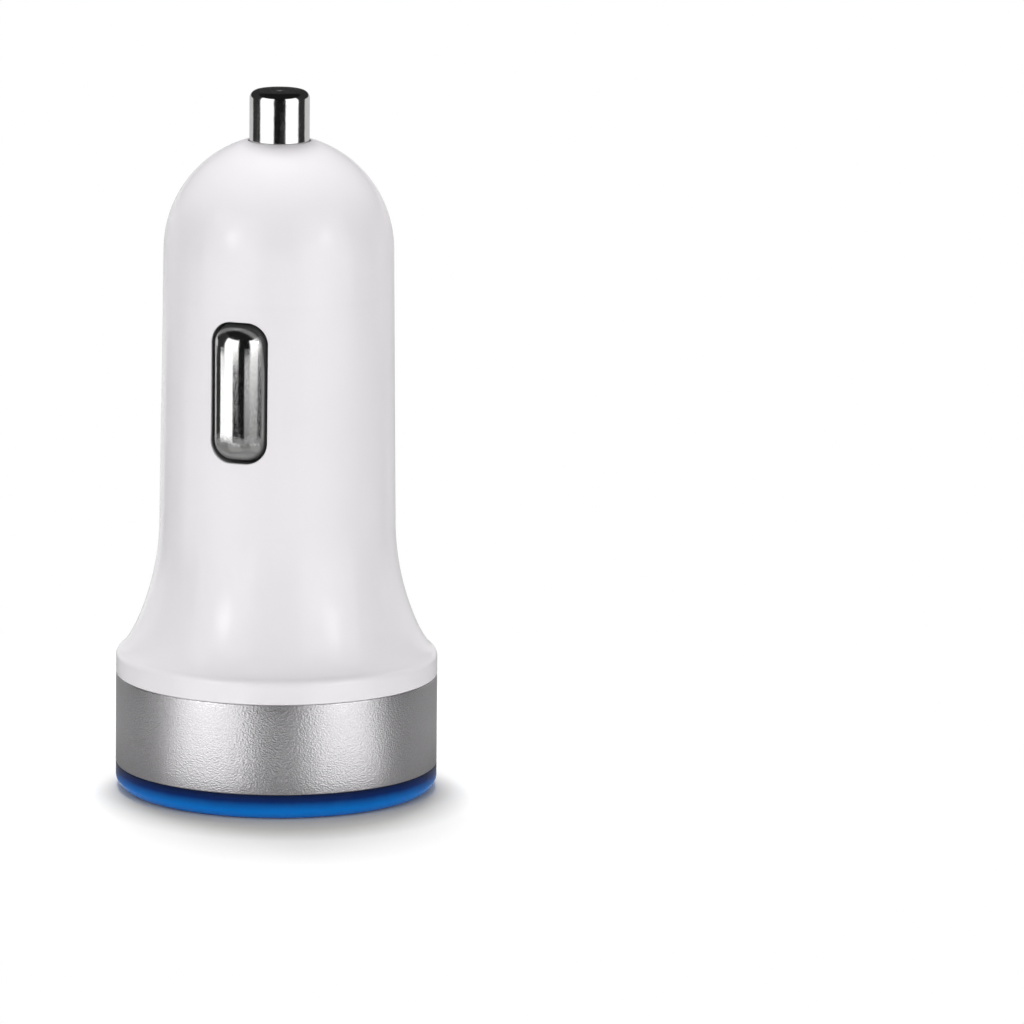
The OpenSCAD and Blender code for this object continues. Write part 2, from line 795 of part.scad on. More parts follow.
// Small resistors and ceramic capacitors, as separate blocks: a row across the board,
// and three between the chip's leads and the board's edges
module chip_components() {
    row_z = part_z(front_parts, 2) + tile_len/2;
    pitch = leaf_seat/2;
    side_y = (chip_w/2 + leg_reach + leaf_seat)/2;
    places = [
        for (i = [-1.5 : 1 : 1.5]) [1, i*pitch, row_z],
        for (s = [-1, 1]) [-1, s*side_y, chip_z],
        [-1, side_y, chip_z - 2*tile_len]
    ];
    color("tan") for (p = places) on_board(p[0], p[1], p[2])
        translate([0, 0, tile_h/2]) cube([tile_len, tile_w, tile_h], center = true);
}

// Surface fuse between the positive terminal and the converter
module board_fuse() {
    color("ivory") on_board(-1, 0, part_z(back_parts, 4) + fuse_len/2)
        translate([0, 0, fuse_h/2]) cube([fuse_len, fuse_w, fuse_h], center = true);
}

// Brass disc under the spring, with a tab soldered to the power board's +X face
module positive_terminal() {
    color("khaki") {
        translate([0, 0, board_top_z]) cylinder(h = terminal_t, r = well_or - terminal_edge);
        translate([face_x, -tab_w/2, board_top_z - tab_len])
            cube([terminal_t, tab_w, tab_len + terminal_t]);
    }
}

// Nickel-plated plunger: rounded end, flange that stops in the dome, and spigot
module tip_contact() {
    color("gainsboro") rotate_extrude() {
        band(0, tip_r, spring_top_z, tip_top_z - tip_round);
        band(0, tip_r - tip_round, seat_z, tip_top_z);
        intersection() {
            translate([tip_r - tip_round, tip_top_z - tip_round]) circle(tip_round);
            band(0, tip_r, seat_z, tip_top_z);
        }
        band(0, flange_r, spring_top_z, seat_z - fit_gap);
        band(0, spigot_r, spring_top_z - spigot_len, seat_z);
    }
}

// Rings of points round a helix whose end turns lie flat, for the spring's wire
spring_steps = 20;
wire_sides = 8;
dead_turns = 1;
dead_rise = 0.55*tip_wire;
wire_gap = 0.02;
spring_low = tip_wire/2 + wire_gap;
spring_high = tip_spring_len - spring_low;
function spring_rise(t) =
    t < dead_turns ? spring_low + t*dead_rise :
    t > tip_turns - dead_turns ? spring_high - (tip_turns - t)*dead_rise :
    spring_low + dead_rise
        + (spring_high - spring_low - 2*dead_rise)*(t - dead_turns)/(tip_turns - 2*dead_turns);
function spring_ring(t) =
    let (a = 360*t, z = well_z + spring_rise(t))
    [for (k = [0 : wire_sides - 1]) let (b = 360*k/wire_sides, r = spring_r + tip_wire/2*cos(b))
        [r*cos(a), r*sin(a), z + tip_wire/2*sin(b)]];

// Coil spring under the tip
module tip_spring() {
    n = tip_turns*spring_steps;
    points = [for (i = [0 : n]) each spring_ring(i/spring_steps)];
    sides = [for (i = [0 : n - 1], k = [0 : wire_sides - 1])
        let (k2 = (k + 1) % wire_sides, a = i*wire_sides, b = a + wire_sides)
        [a + k, b + k, b + k2, a + k2]];
    first = [for (k = [0 : wire_sides - 1]) k];
    last = [for (k = [wire_sides - 1 : -1 : 0]) n*wire_sides + k];
    color("gray") polyhedron(points = points, faces = concat([first], sides, [last]));
}

// Oval dome at one end of a side contact's crown, pointing to the front
module crown_end(half_w, h, len) {
    scale([1, 1, len/half_w]) rotate([90, 0, 0]) rotate_extrude($fn = hull_fn) intersection() {
        scale([half_w, h]) circle(1, $fn = hull_fn);
        square([half_w, h]);
    }
}

// Smooth pillow of the side contact: straight sides from the bore, then the arched crown
module pillow(inset) {
    shoulder = pad_top - pad_arch;
    foot = flange_bottom - inset;
    hull() {
        for (s = [-1, 1])
            translate([0, -shoulder, slot_z + s*(pad_h/2 - pad_end)])
                crown_end(pad_w/2 - inset, pad_arch - inset, pad_end - inset);
        face_on(foot, shoulder - foot)
            rounded_rect(pad_w - 2*inset, pad_h - 2*inset, pad_corner - inset, $fn = hull_fn);
    }
}

// Drawn metal side contact: hollow pillow with a flange inside the wall
module side_contact() {
    color("gainsboro") difference() {
        union() {
            pillow(0);
            face_on(flange_bottom, pad_t)
                rounded_rect(pad_w + 2*pad_flange_w, pad_h + 2*pad_flange_w, pad_corner);
        }
        pillow(pad_t);
    }
}

// Bowed leaf spring between a side contact and the power board's edge
module leaf_spring() {
    rise = leaf_crest - leaf_t - leaf_seat;
    arc = (leaf_half*leaf_half + rise*rise)/(2*rise);
    color("gray") translate([-leaf_w/2, 0, slot_z]) rotate([90, 0, 90]) linear_extrude(leaf_w) {
        intersection() {
            translate([leaf_t + arc - leaf_crest, 0]) difference() {
                circle(arc + leaf_t);
                circle(arc);
            }
            translate([-leaf_crest - cut, -2*leaf_half])
                square([leaf_crest + cut - leaf_seat, 4*leaf_half]);
        }
        for (s = [-1, 1]) translate([-leaf_seat - leaf_t, s*(leaf_half + leaf_foot/2) - leaf_foot/2])
            square([leaf_t, leaf_foot]);
    }
}

housing();
trim_ring();
light_ring();
face_plate();
socket_shell(1);  // upper_socket_shell
socket_tongue(1);  // upper_socket_tongue
socket_contacts(1);  // upper_socket_contacts
socket_shell(-1);  // lower_socket_shell
socket_tongue(-1);  // lower_socket_tongue
socket_contacts(-1);  // lower_socket_contacts
port_board();
power_board();
board_pins();
ring_lamps();
inductor_core();
inductor_winding();
input_capacitor();
output_capacitor();
converter_chip();
chip_leads();
rectifier_diode();
chip_components();
board_fuse();
positive_terminal();
tip_contact();
tip_spring();
side_contact();  // front_side_contact
mirror([0, 1, 0]) side_contact();  // back_side_contact
leaf_spring();  // front_leaf_spring
mirror([0, 1, 0]) leaf_spring();  // back_leaf_spring
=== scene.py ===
import math

import bmesh
import bpy
from mathutils import Matrix, Vector


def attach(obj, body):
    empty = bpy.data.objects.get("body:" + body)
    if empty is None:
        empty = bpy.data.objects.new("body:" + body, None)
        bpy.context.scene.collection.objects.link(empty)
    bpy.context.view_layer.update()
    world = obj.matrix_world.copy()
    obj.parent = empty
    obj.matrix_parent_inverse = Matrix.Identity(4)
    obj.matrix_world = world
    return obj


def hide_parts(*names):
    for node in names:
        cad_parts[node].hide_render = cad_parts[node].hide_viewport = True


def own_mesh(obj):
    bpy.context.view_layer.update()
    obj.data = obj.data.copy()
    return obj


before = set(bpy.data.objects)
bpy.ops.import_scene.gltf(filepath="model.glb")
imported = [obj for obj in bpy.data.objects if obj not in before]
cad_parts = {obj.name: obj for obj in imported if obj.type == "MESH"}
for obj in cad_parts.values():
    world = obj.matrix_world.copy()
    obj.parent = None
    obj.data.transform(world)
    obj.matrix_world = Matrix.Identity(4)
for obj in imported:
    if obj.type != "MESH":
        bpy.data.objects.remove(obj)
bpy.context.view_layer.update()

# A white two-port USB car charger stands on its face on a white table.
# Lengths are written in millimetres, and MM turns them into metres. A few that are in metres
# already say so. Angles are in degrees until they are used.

MM = 0.001

# Points closer than this become one, in metres
WELD = 1e-7

# Measures of the plug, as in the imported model, with this script's own small edge rounds
HEAD_R = 14.25
TRIM_Z = 2.25
RIM_Z = 10.35
FLARE_Z = 12.65
BARREL_Z = 24.25
DOME_Z = 48.35
BARREL_R = 10.45
NOSE_R = 10.15
RIM_ROUND = 0.8
RIM_SWEEP = 56
CREASE_REACH = 1.9
CREASE_MIDDLE = (13.37, 12.86)
EDGE_ROUND = 0.08
FLARE_CENTRE = 34.03
FLARE_ARC = 23.58
NECK_IN = 11.9
NECK_OUT = 13.2
TRIM_BORE = 13.25
TRIM_EDGE = 0.13
RIM_EDGE = 0.14
BORE_R = 8.45
POCKET_R = 10.25
LEDGE_R = 9.3
LEDGE_Z = 16.7
LEDGE_TOP = 18.5
CONE_LOW = 11.5
CONE_HIGH = 14.3
RAIL_GAP = 1.3
RAIL_W = 1.0
RAIL_DEPTH = 0.85
RAIL_SUNK = 0.15
RAIL_BELOW = 0.7
KEY_HALF = 0.6
KEY_DEPTH = 0.8
KEY_SUNK = 0.3
KEY_LOW = 15.2
WELL_IN = 3.8
WELL_OUT = 4.7
WELL_Z = 46.02
SEAT_Z = 54.87
TIP_R = 2.65
TIP_BORE = 2.75
BORE_EDGE = 0.16
TIP_TOP = 62.5
TIP_ROUND = 0.7
TIP_EDGE = 0.12
FLANGE_R = 3.7
FLANGE_TOP = 54.82
FLANGE_LOW = 53.62
SPIGOT_R = 2.55
SPIGOT_LOW = 50.62
SPIGOT_ROUND = 0.4
SPRING_R = 3.1
SPRING_LEN = 7.6
WIRE_R = 0.25
SLOT_Z = 37.2
SLOT_W = 5.2
SLOT_H = 12.5
SLOT_CORNER = 1.9
LIP = 0.10
LAND_Y = 8.3
LAND_GAP = 0.1
PAD_W = 5.0
PAD_H = 12.3
PAD_CORNER = 1.8
PAD_TOP = 11.39
PAD_ARCH = 2.4
PAD_END = 2.0
PAD_T = 0.45
PAD_OVAL = 0.7
SAG = 0.12
PAD_FLANGE = 0.8
FLANGE_EDGE = 0.08
FLANGE_ROUND = 0.25
FLANGE_Y = 8.25
LEAF_SEAT = 6.35
LEAF_CREST = 10.36
LEAF_HALF = 4.2
LEAF_FOOT = 1.5
LEAF_BEND = 0.3
LEAF_T = 0.25
LEAF_W = 2.8
FACE_Z = 0.3
DIGIT_X = 9.1
DIGIT_H = 1.7
DIGIT_NARROW = 0.85
FONT_SHARE = 1.4
INK_T = 0.01

# Steps round the turned meshes
HOUSING_STEPS = 320
TRIM_STEPS = 256
TIP_STEPS = 160


# Mesh tools
def mesh_object(name, verts, faces, crease=35):
    """A smooth-shaded object from points in millimetres, sharp where faces meet above crease."""
    mesh = bpy.data.meshes.new(name)
    mesh.from_pydata([[c * MM for c in v] for v in verts], [], faces)
    mesh.validate()
    obj = bpy.data.objects.new(name, mesh)
    bpy.context.scene.collection.objects.link(obj)
    shade(obj, crease)
    return obj


def shade(obj, crease):
    """Smooth shading with sharp edges above the crease angle."""
    obj.data.polygons.foreach_set("use_smooth", [True] * len(obj.data.polygons))
    obj.data.set_sharp_from_angle(angle=math.radians(crease))
    obj.data.update()


def arc(cx, cz, radius, start, end, steps):
    """Points of an arc, with angles in degrees from the +r direction."""
    turn = [math.radians(start + (end - start) * i / steps) for i in range(steps + 1)]
    return [(cx + radius * math.cos(a), cz + radius * math.sin(a)) for a in turn]


def bezier(p, q, s, steps):
    """Points of a quadratic curve from p to s that leaves towards q."""
    points = []
    for i in range(steps + 1):
        t = i / steps
        points.append(tuple((1 - t) ** 2 * a + 2 * t * (1 - t) * b + t * t * c
                            for a, b, c in zip(p, q, s)))
    return points


def soften(section, reach):
    """Rounds each corner of a closed section. A point's third number is its own reach."""
    most, least_bend, steps = 0.45, math.radians(20), 5
    out = []
    count = len(section)
    for i, point in enumerate(section):
        p = Vector(point[:2])
        before, after = Vector(section[i - 1][:2]), Vector(section[(i + 1) % count][:2])
        u, v = before - p, after - p
        bend = math.pi - u.angle(v)
        size = point[2] if len(point) > 2 else reach
        size = min(size, most * u.length, most * v.length)
        if bend < least_bend or size <= 0:
            out.append(tuple(p))
            continue
        out += bezier(p + u.normalized() * size, p, p + v.normalized() * size, steps)
    return out


def divide(section, longest):
    """Splits the long straight runs of a closed section."""
    out = []
    for i, point in enumerate(section):
        a, b = Vector(point), Vector(section[(i + 1) % len(section)])
        parts = max(1, math.ceil((b - a).length / longest))
        out += [tuple(a.lerp(b, k / parts)) for k in range(parts)]
    return out


def lathe(name, section, segments):
    """Turns a closed section of (r, z) points round the z axis."""
    area = sum(a[0] * b[1] - b[0] * a[1] for a, b in zip(section, section[1:] + section[:1]))
    if area < 0:
        section = section[::-1]
    verts, rings = [], []
    for r, z in section:
        if r < 1e-6:
            rings.append([len(verts)] * segments)
            verts.append((0, 0, z))
            continue
        rings.append(list(range(len(verts), len(verts) + segments)))
        for k in range(segments):
            a = 2 * math.pi * k / segments
            verts.append((r * math.cos(a), r * math.sin(a), z))
    faces = []
    for low, high in zip(rings, rings[1:] + rings[:1]):
        for k in range(segments):
            n = (k + 1) % segments
            face = []
            for v in (low[k], low[n], high[n], high[k]):
                if v not in face:
                    face.append(v)
            if len(face) > 2:
                faces.append(face)
    return mesh_object(name, verts, faces)


def skin(rings, caps=True):
    """Faces between rings of equal length, in order, with a flat cap at each end or open ends."""
    verts = [v for ring in rings for v in ring]
    n = len(rings[0])
    faces = []
    for i in range(len(rings) - 1):
        for k in range(n):
            m = (k + 1) % n
            faces.append((i * n + k, i * n + m, (i + 1) * n + m, (i + 1) * n + k))
    if caps:
        faces.append(tuple(reversed(range(n))))
        faces.append(tuple(range((len(rings) - 1) * n, len(rings) * n)))
    return verts, faces


def fix_normals(obj):
    """Turns all faces of a closed mesh outwards."""
    bm = bmesh.new()
    bm.from_mesh(obj.data)
    bmesh.ops.remove_doubles(bm, verts=bm.verts, dist=WELD)
    bmesh.ops.recalc_face_normals(bm, faces=bm.faces)
    bm.to_mesh(obj.data)
    bm.free()


def apply_modifiers(obj):
    """Replaces an object's mesh with what its modifiers make of it."""
    graph = bpy.context.evaluated_depsgraph_get()
    made = bpy.data.meshes.new_from_object(obj.evaluated_get(graph))
    obj.modifiers.clear()
    obj.data = made


def cut(obj, cutters):
    """Takes closed cutters out of a closed piece."""
    for cutter in cutters:
        mod = obj.modifiers.new("cut", "BOOLEAN")
        mod.operation = "DIFFERENCE"
        mod.solver = "EXACT"
        mod.object = cutter
    apply_modifiers(obj)
    for cutter in cutters:
        bpy.data.objects.remove(cutter)


def weigh_normals(obj, crease):
    """Lets the large faces set the shading beside small ones."""
    shade(obj, crease)
    mod = obj.modifiers.new("weigh", "WEIGHTED_NORMAL")
    mod.mode = "FACE_AREA"
    mod.keep_sharp = True
    apply_modifiers(obj)


def outline(w, h, r):
    """Points of a rounded rectangle in x and z, each with its outward direction."""
    corner_steps, longest = 14, 0.6
    points = []
    for cx, cz, start in ((1, 1, 0), (-1, 1, 90), (-1, -1, 180), (1, -1, 270)):
        for i in range(corner_steps + 1):
            a = math.radians(start + 90 * i / corner_steps)
            n = (math.cos(a), math.sin(a))
            points.append((cx * (w / 2 - r) + r * n[0], cz * (h / 2 - r) + r * n[1], n))
    dense = []
    for a, b in zip(points, points[1:] + points[:1]):
        gap = math.hypot(a[0] - b[0], a[1] - b[1])
        parts = max(1, math.ceil(gap / longest))
        for k in range(parts):
            t = k / parts
            dense.append((a[0] + (b[0] - a[0]) * t, a[1] + (b[1] - a[1]) * t, a[2]))
    return dense


def box_mesh(low, high):
    """A plain box as vertices and faces, for a rib inside the housing."""
    verts = [(x, y, z) for x in (low[0], high[0]) for y in (low[1], high[1])
             for z in (low[2], high[2])]
    faces = [(0, 1, 3, 2), (4, 6, 7, 5), (0, 4, 5, 1), (2, 3, 7, 6), (0, 2, 6, 4), (1, 5, 7, 3)]
    return verts, faces


def join(obj, others):
    """Adds the meshes of other objects to a piece."""
    bm = bmesh.new()
    bm.from_mesh(obj.data)
    for other in others:
        bm.from_mesh(other.data)
        bpy.data.objects.remove(other)
    bm.to_mesh(obj.data)
    bm.free()


# Housing: one lathe with a softened slot on each side
def barrel_radius(z):
    """Outer radius of the barrel, which narrows a little towards its dome."""
    return BARREL_R + (NOSE_R - BARREL_R) * (z - BARREL_Z) / (DOME_Z - BARREL_Z)


def housing_section():
    """Closed section of the housing, up its outside and down its inside."""
    rim = arc(HEAD_R - RIM_ROUND, FLARE_Z - RIM_ROUND, RIM_ROUND, 0, RIM_SWEEP, steps=8)
    low = math.degrees(math.asin((BARREL_Z - FLARE_Z - CREASE_REACH) / FLARE_ARC))
    flare = arc(FLARE_CENTRE, BARREL_Z, FLARE_ARC, 180 + low, 180, steps=24)
    crease = bezier(rim[-1], CREASE_MIDDLE, flare[0], steps=16)
    top = math.degrees(math.acos(TIP_BORE / NOSE_R))
    dome = arc(0, DOME_Z, NOSE_R, 0, top, steps=40)
    inner_top = math.degrees(math.acos(WELL_OUT / BORE_R))
    inner = arc(0, DOME_Z, BORE_R, inner_top, 0, steps=12)
    section = [(NECK_IN, TRIM_Z), (NECK_OUT, TRIM_Z), (NECK_OUT, RIM_Z), (HEAD_R, RIM_Z, RIM_EDGE)]
    section += rim + crease[1:-1] + flare + dome[:-1]
    section += [(*dome[-1], BORE_EDGE), (TIP_BORE, SEAT_Z), (WELL_IN, SEAT_Z), (WELL_IN, WELL_Z)]
    section += [(WELL_OUT, WELL_Z)] + inner
    section += [(BORE_R, LEDGE_TOP), (LEDGE_R, LEDGE_TOP), (LEDGE_R, LEDGE_Z)]
    section += [(POCKET_R, LEDGE_Z), (POCKET_R, CONE_HIGH), (NECK_IN, CONE_LOW)]
    return divide(soften(section, EDGE_ROUND), longest=1.6)


def slot_cutter(side):
    """Cutter of one contact slot. Its mouth flares, so the slot's edge comes out rounded."""
    past_inside, past_outside, wider = 2, 0.35, 0.4
    edge = outline(SLOT_W, SLOT_H, SLOT_CORNER)

    def ring(offset, depth):
        points = []
        for x, z, n in edge:
            px, pz = x + offset * n[0], z + offset * n[1]
            wall = math.sqrt(barrel_radius(SLOT_Z + pz) ** 2 - px * px)
            points.append((px, side * (wall - depth), SLOT_Z + pz))
        return points

    rings = [[(x, side * (LAND_Y - past_inside), SLOT_Z + z) for x, z, n in edge]]
    for degrees in range(0, 71, 14):
        a = math.radians(degrees)
        rings.append(ring(LIP * (1 - math.cos(a)), LIP * (1 - math.sin(a))))
    rings.append(ring(LIP + wider, -past_outside))
    verts, faces = skin(rings)
    obj = mesh_object("slot_cutter", verts, faces)
    fix_normals(obj)
    return obj


def land_cutter(side):
    """Flat pocket inside the wall behind one slot, for the contact's flange."""
    w = PAD_W / 2 + PAD_FLANGE + LAND_GAP
    h = PAD_H / 2 + PAD_FLANGE + LAND_GAP
    past_inside = 3
    near, far = sorted((side * (LAND_Y - past_inside), side * LAND_Y))
    return mesh_object("land_cutter", *box_mesh((-w, near, SLOT_Z - h), (w, far, SLOT_Z + h)))


def housing_ribs():
    """Rails of the power board and the key of the port board."""
    ribs = []
    rail_top = SLOT_Z - PAD_H / 2 - PAD_FLANGE - RAIL_BELOW
    for side in (-1, 1):
        near, far = sorted((side * (BORE_R - RAIL_DEPTH), side * (BORE_R + RAIL_SUNK)))
        for x in (-RAIL_GAP / 2 - RAIL_W, RAIL_GAP / 2):
            rail = box_mesh((x, near, LEDGE_TOP), (x + RAIL_W, far, rail_top))
            ribs.append(mesh_object("rail", *rail))
    key = box_mesh((POCKET_R - KEY_DEPTH, -KEY_HALF, KEY_LOW), (POCKET_R + KEY_SUNK, KEY_HALF, LEDGE_Z))
    ribs.append(mesh_object("key", *key))
    return ribs


def make_housing():
    """White shell: the lathe with its slots and lands cut, and its ribs added."""
    obj = lathe("housing_shell", housing_section(), HOUSING_STEPS)
    cut(obj, [f(side) for side in (-1, 1) for f in (slot_cutter, land_cutter)])
    join(obj, housing_ribs())
    weigh_normals(obj, crease=33)
    return obj


# Trim ring
def make_trim_ring():
    """Plain sleeve with rounded edges."""
    corners = [(TRIM_BORE, TRIM_Z), (HEAD_R, TRIM_Z), (HEAD_R, RIM_Z), (TRIM_BORE, RIM_Z)]
    return lathe("trim_sleeve", divide(soften(corners, TRIM_EDGE), longest=1.2), TRIM_STEPS)


# Contacts
def make_tip():
    """Plunger: rounded end, flange inside the dome and spigot in the spring."""
    end = arc(TIP_R - TIP_ROUND, TIP_TOP - TIP_ROUND, TIP_ROUND, 0, 90, steps=10)
    section = [(0, SPIGOT_LOW), (SPIGOT_R, SPIGOT_LOW, SPIGOT_ROUND), (SPIGOT_R, FLANGE_LOW)]
    section += [(FLANGE_R, FLANGE_LOW), (FLANGE_R, FLANGE_TOP), (TIP_R, FLANGE_TOP)]
    section += end + [(0, TIP_TOP)]
    return lathe("tip_plunger", divide(soften(section, TIP_EDGE), longest=1.5), TIP_STEPS)


def make_pad(side, name):
    """Drawn side contact: an arched crown with rounded ends and a flange, hollow behind."""
    end_steps, side_steps, crown_steps = 48, 12, 28
    spine = PAD_H / 2 - PAD_END
    shoulder = PAD_TOP - PAD_ARCH
    turns = [math.pi * i / end_steps for i in range(end_steps + 1)]
    ends = [(math.cos(a), math.sin(a)) for a in turns]
    ways = [(c, s, spine) for c, s in ends]
    ways += [(-1, 0, spine * (1 - 2 * i / side_steps)) for i in range(1, side_steps)]
    ways += [(-c, -s, -spine) for c, s in ends]
    ways += [(1, 0, spine * (2 * i / side_steps - 1)) for i in range(1, side_steps)]

    def ring(share, y, inset=0.0, grow=0.0):
        """Outline at a share of the full width: an oval that ends as a rounded rectangle."""
        half, end, corner = PAD_W / 2 - inset, PAD_END - inset, PAD_CORNER - inset
        blend = max(0.0, (share - PAD_OVAL) / (1 - PAD_OVAL))
        blend = blend * blend * (3 - 2 * blend)
        points = []
        for c, s, z in ways:
            nx, nz, shift = c, 0.0, 0.0
            if abs(s) > 1e-6:
                nx = math.copysign(max(0.0, abs(c) * half - half + corner) / corner, c)
                nz = math.copysign(math.sqrt(max(0.0, 1 - nx * nx)), s)
                edge = math.copysign(PAD_H / 2 - PAD_CORNER, s) + corner * nz
                shift = (edge - z - end * s) * blend
            points.append((share * half * c + nx * grow, side * y,
                           SLOT_Z + z + share * end * s + shift + nz * grow))
        return points

    def crown(share, inset):
        """Distance of the arched crown from the axis at a share of the full width."""
        return shoulder + (PAD_ARCH - inset) * math.sqrt(1 - share ** 2)

    def sag(points, share):
        """Lets the crown sink towards its two ends."""
        rise = max(0.0, 1 - share ** 2)
        drops = [SAG * rise * (abs(z - SLOT_Z) / (PAD_H / 2)) ** 4 for x, y, z in points]
        return [(x, y - side * drop, z) for (x, y, z), drop in zip(points, drops)]

    shares = [math.sin(math.pi / 2 * i / crown_steps) for i in range(crown_steps)] + [1.0]
    fillet_y, fillet_grow = 0.07, 0.06
    low = FLANGE_Y - PAD_T
    rings = [sag(ring(s, crown(s, 0)), s) for s in shares]
    rings += [ring(1, FLANGE_Y + FLANGE_ROUND), ring(1, FLANGE_Y + fillet_y, grow=fillet_grow)]
    rings += [ring(1, FLANGE_Y, grow=FLANGE_ROUND), ring(1, FLANGE_Y, grow=PAD_FLANGE - FLANGE_EDGE)]
    rings += [ring(1, y, grow=PAD_FLANGE) for y in (FLANGE_Y - FLANGE_EDGE, low + FLANGE_EDGE)]
    rings += [ring(1, low, grow=PAD_FLANGE - FLANGE_EDGE), ring(1, low, PAD_T)]
    rings += [sag(ring(s, crown(s, PAD_T), PAD_T), s) for s in reversed(shares)]
    verts, faces = skin(rings, caps=False)
    obj = mesh_object(name, verts, faces)
    fix_normals(obj)
    bm = bmesh.new()
    bm.from_mesh(obj.data)
    bmesh.ops.dissolve_degenerate(bm, edges=bm.edges, dist=WELD)
    bm.to_mesh(obj.data)
    bm.free()
    shade(obj, crease=50)
    return obj


# Springs
def make_coil():
    """Coil spring under the tip: six turns of round wire with closed ends."""
    turns, steps, sides = 6, 40, 12
    low, rise = 0.27, 0.275
    high = SPRING_LEN - low
    rings = []
    for i in range(turns * steps + 1):
        t = i / steps
        if t < 1:
            z = low + rise * t
        elif t > turns - 1:
            z = high - rise * (turns - t)
        else:
            z = low + rise + (high - low - 2 * rise) * (t - 1) / (turns - 2)
        a = 2 * math.pi * t
        ring = []
        for k in range(sides):
            b = 2 * math.pi * k / sides
            r = SPRING_R + WIRE_R * math.cos(b)
            ring.append((r * math.cos(a), r * math.sin(a), WELL_Z + z + WIRE_R * math.sin(b)))
        rings.append(ring)
    verts, faces = skin(rings)
    obj = mesh_object("tip_coil", verts, faces)
    fix_normals(obj)
    return obj


def make_leaf(side, name):
    """Bowed leaf spring with a flat foot at each end, on the power board's edge."""
    steps = 32
    top = LEAF_CREST - LEAF_T - LEAF_SEAT
    radius = (LEAF_HALF ** 2 + top ** 2) / (2 * top)
    line = [(-LEAF_HALF - LEAF_FOOT, 0.0), (-LEAF_HALF - LEAF_BEND, 0.0)]
    for i in range(steps + 1):
        z = -LEAF_HALF + 2 * LEAF_HALF * i / steps
        line.append((z, max(0.0, top - radius + math.sqrt(radius ** 2 - z ** 2))))
    line += [(LEAF_HALF + LEAF_BEND, 0.0), (LEAF_HALF + LEAF_FOOT, 0.0)]
    rings = []
    for z, y in line:
        slope = Vector((1, 0))
        if abs(z) < LEAF_HALF:
            slope = Vector((math.sqrt(radius ** 2 - z ** 2), -z)).normalized()
        n = Vector((-slope.y, slope.x)) * LEAF_T
        ring = []
        for x, k in ((-LEAF_W / 2, 0), (LEAF_W / 2, 0), (LEAF_W / 2, 1), (-LEAF_W / 2, 1)):
            ring.append((x, side * (LEAF_SEAT + y + k * n.y), SLOT_Z + z + k * n.x))
        rings.append(ring)
    verts, faces = skin(rings)
    obj = mesh_object(name, verts, faces, crease=25)
    fix_normals(obj)
    shade(obj, crease=25)
    return obj


# Printed port numbers on the face
def make_digit(text, name, x):
    """A printed number, flat on the face and upright when +X is up."""
    curve = bpy.data.curves.new(name, "FONT")
    curve.body = text
    curve.align_x = "CENTER"
    curve.align_y = "CENTER"
    curve.size = DIGIT_H * FONT_SHARE * MM
    curve.extrude = INK_T * MM
    source = bpy.data.objects.new(name, curve)
    bpy.context.scene.collection.objects.link(source)
    graph = bpy.context.evaluated_depsgraph_get()
    mesh = bpy.data.meshes.new_from_object(source.evaluated_get(graph))
    bpy.data.objects.remove(source)
    level = (FACE_Z - INK_T) * MM
    mesh.transform(Matrix(((0, 1, 0, x * MM), (DIGIT_NARROW, 0, 0, 0), (0, 0, -1, level), (0, 0, 0, 1))))
    obj = bpy.data.objects.new(name, mesh)
    bpy.context.scene.collection.objects.link(obj)
    return obj


# Materials
def new_material(name):
    """An empty node material with its Principled shader."""
    mat = bpy.data.materials.new(name)
    mat.use_nodes = True
    nodes = mat.node_tree.nodes
    nodes.clear()
    out = nodes.new("ShaderNodeOutputMaterial")
    shader = nodes.new("ShaderNodeBsdfPrincipled")
    mat.node_tree.links.new(shader.outputs[0], out.inputs["Surface"])
    return mat, shader


def object_point(mat):
    """A point's place in the coordinates of its own piece, in metres."""
    return mat.node_tree.nodes.new("ShaderNodeTexCoord").outputs["Object"]


def add_noise(mat, scale, detail, stretch=(1, 1, 1), seed=0.0):
    """Noise in the piece's own coordinates, scale in features per metre."""
    tree = mat.node_tree
    move = tree.nodes.new("ShaderNodeMapping")
    move.inputs["Scale"].default_value = stretch
    move.inputs["Location"].default_value = (seed, seed * 0.7, seed * 1.3)
    noise = tree.nodes.new("ShaderNodeTexNoise")
    noise.inputs["Scale"].default_value = scale
    noise.inputs["Detail"].default_value = detail
    tree.links.new(object_point(mat), move.inputs["Vector"])
    tree.links.new(move.outputs["Vector"], noise.inputs["Vector"])
    return noise.outputs["Fac"]


def add_range(mat, source, low, high, out_low, out_high, curve="LINEAR"):
    """Maps a value from one range to another, clamped."""
    node = mat.node_tree.nodes.new("ShaderNodeMapRange")
    node.interpolation_type = curve
    node.inputs["From Min"].default_value = low
    node.inputs["From Max"].default_value = high
    node.inputs["To Min"].default_value = out_low
    node.inputs["To Max"].default_value = out_high
    mat.node_tree.links.new(source, node.inputs["Value"])
    return node.outputs["Result"]


def add_ramp(mat, source, stops):
    """Colours along a value from 0 to 1."""
    node = mat.node_tree.nodes.new("ShaderNodeValToRGB")
    ramp = node.color_ramp
    while len(ramp.elements) < len(stops):
        ramp.elements.new(0.5)
    for element, (level, colour) in zip(ramp.elements, stops):
        element.position = level
        element.color = (*colour, 1)
    mat.node_tree.links.new(source, node.inputs["Fac"])
    return node.outputs["Color"]


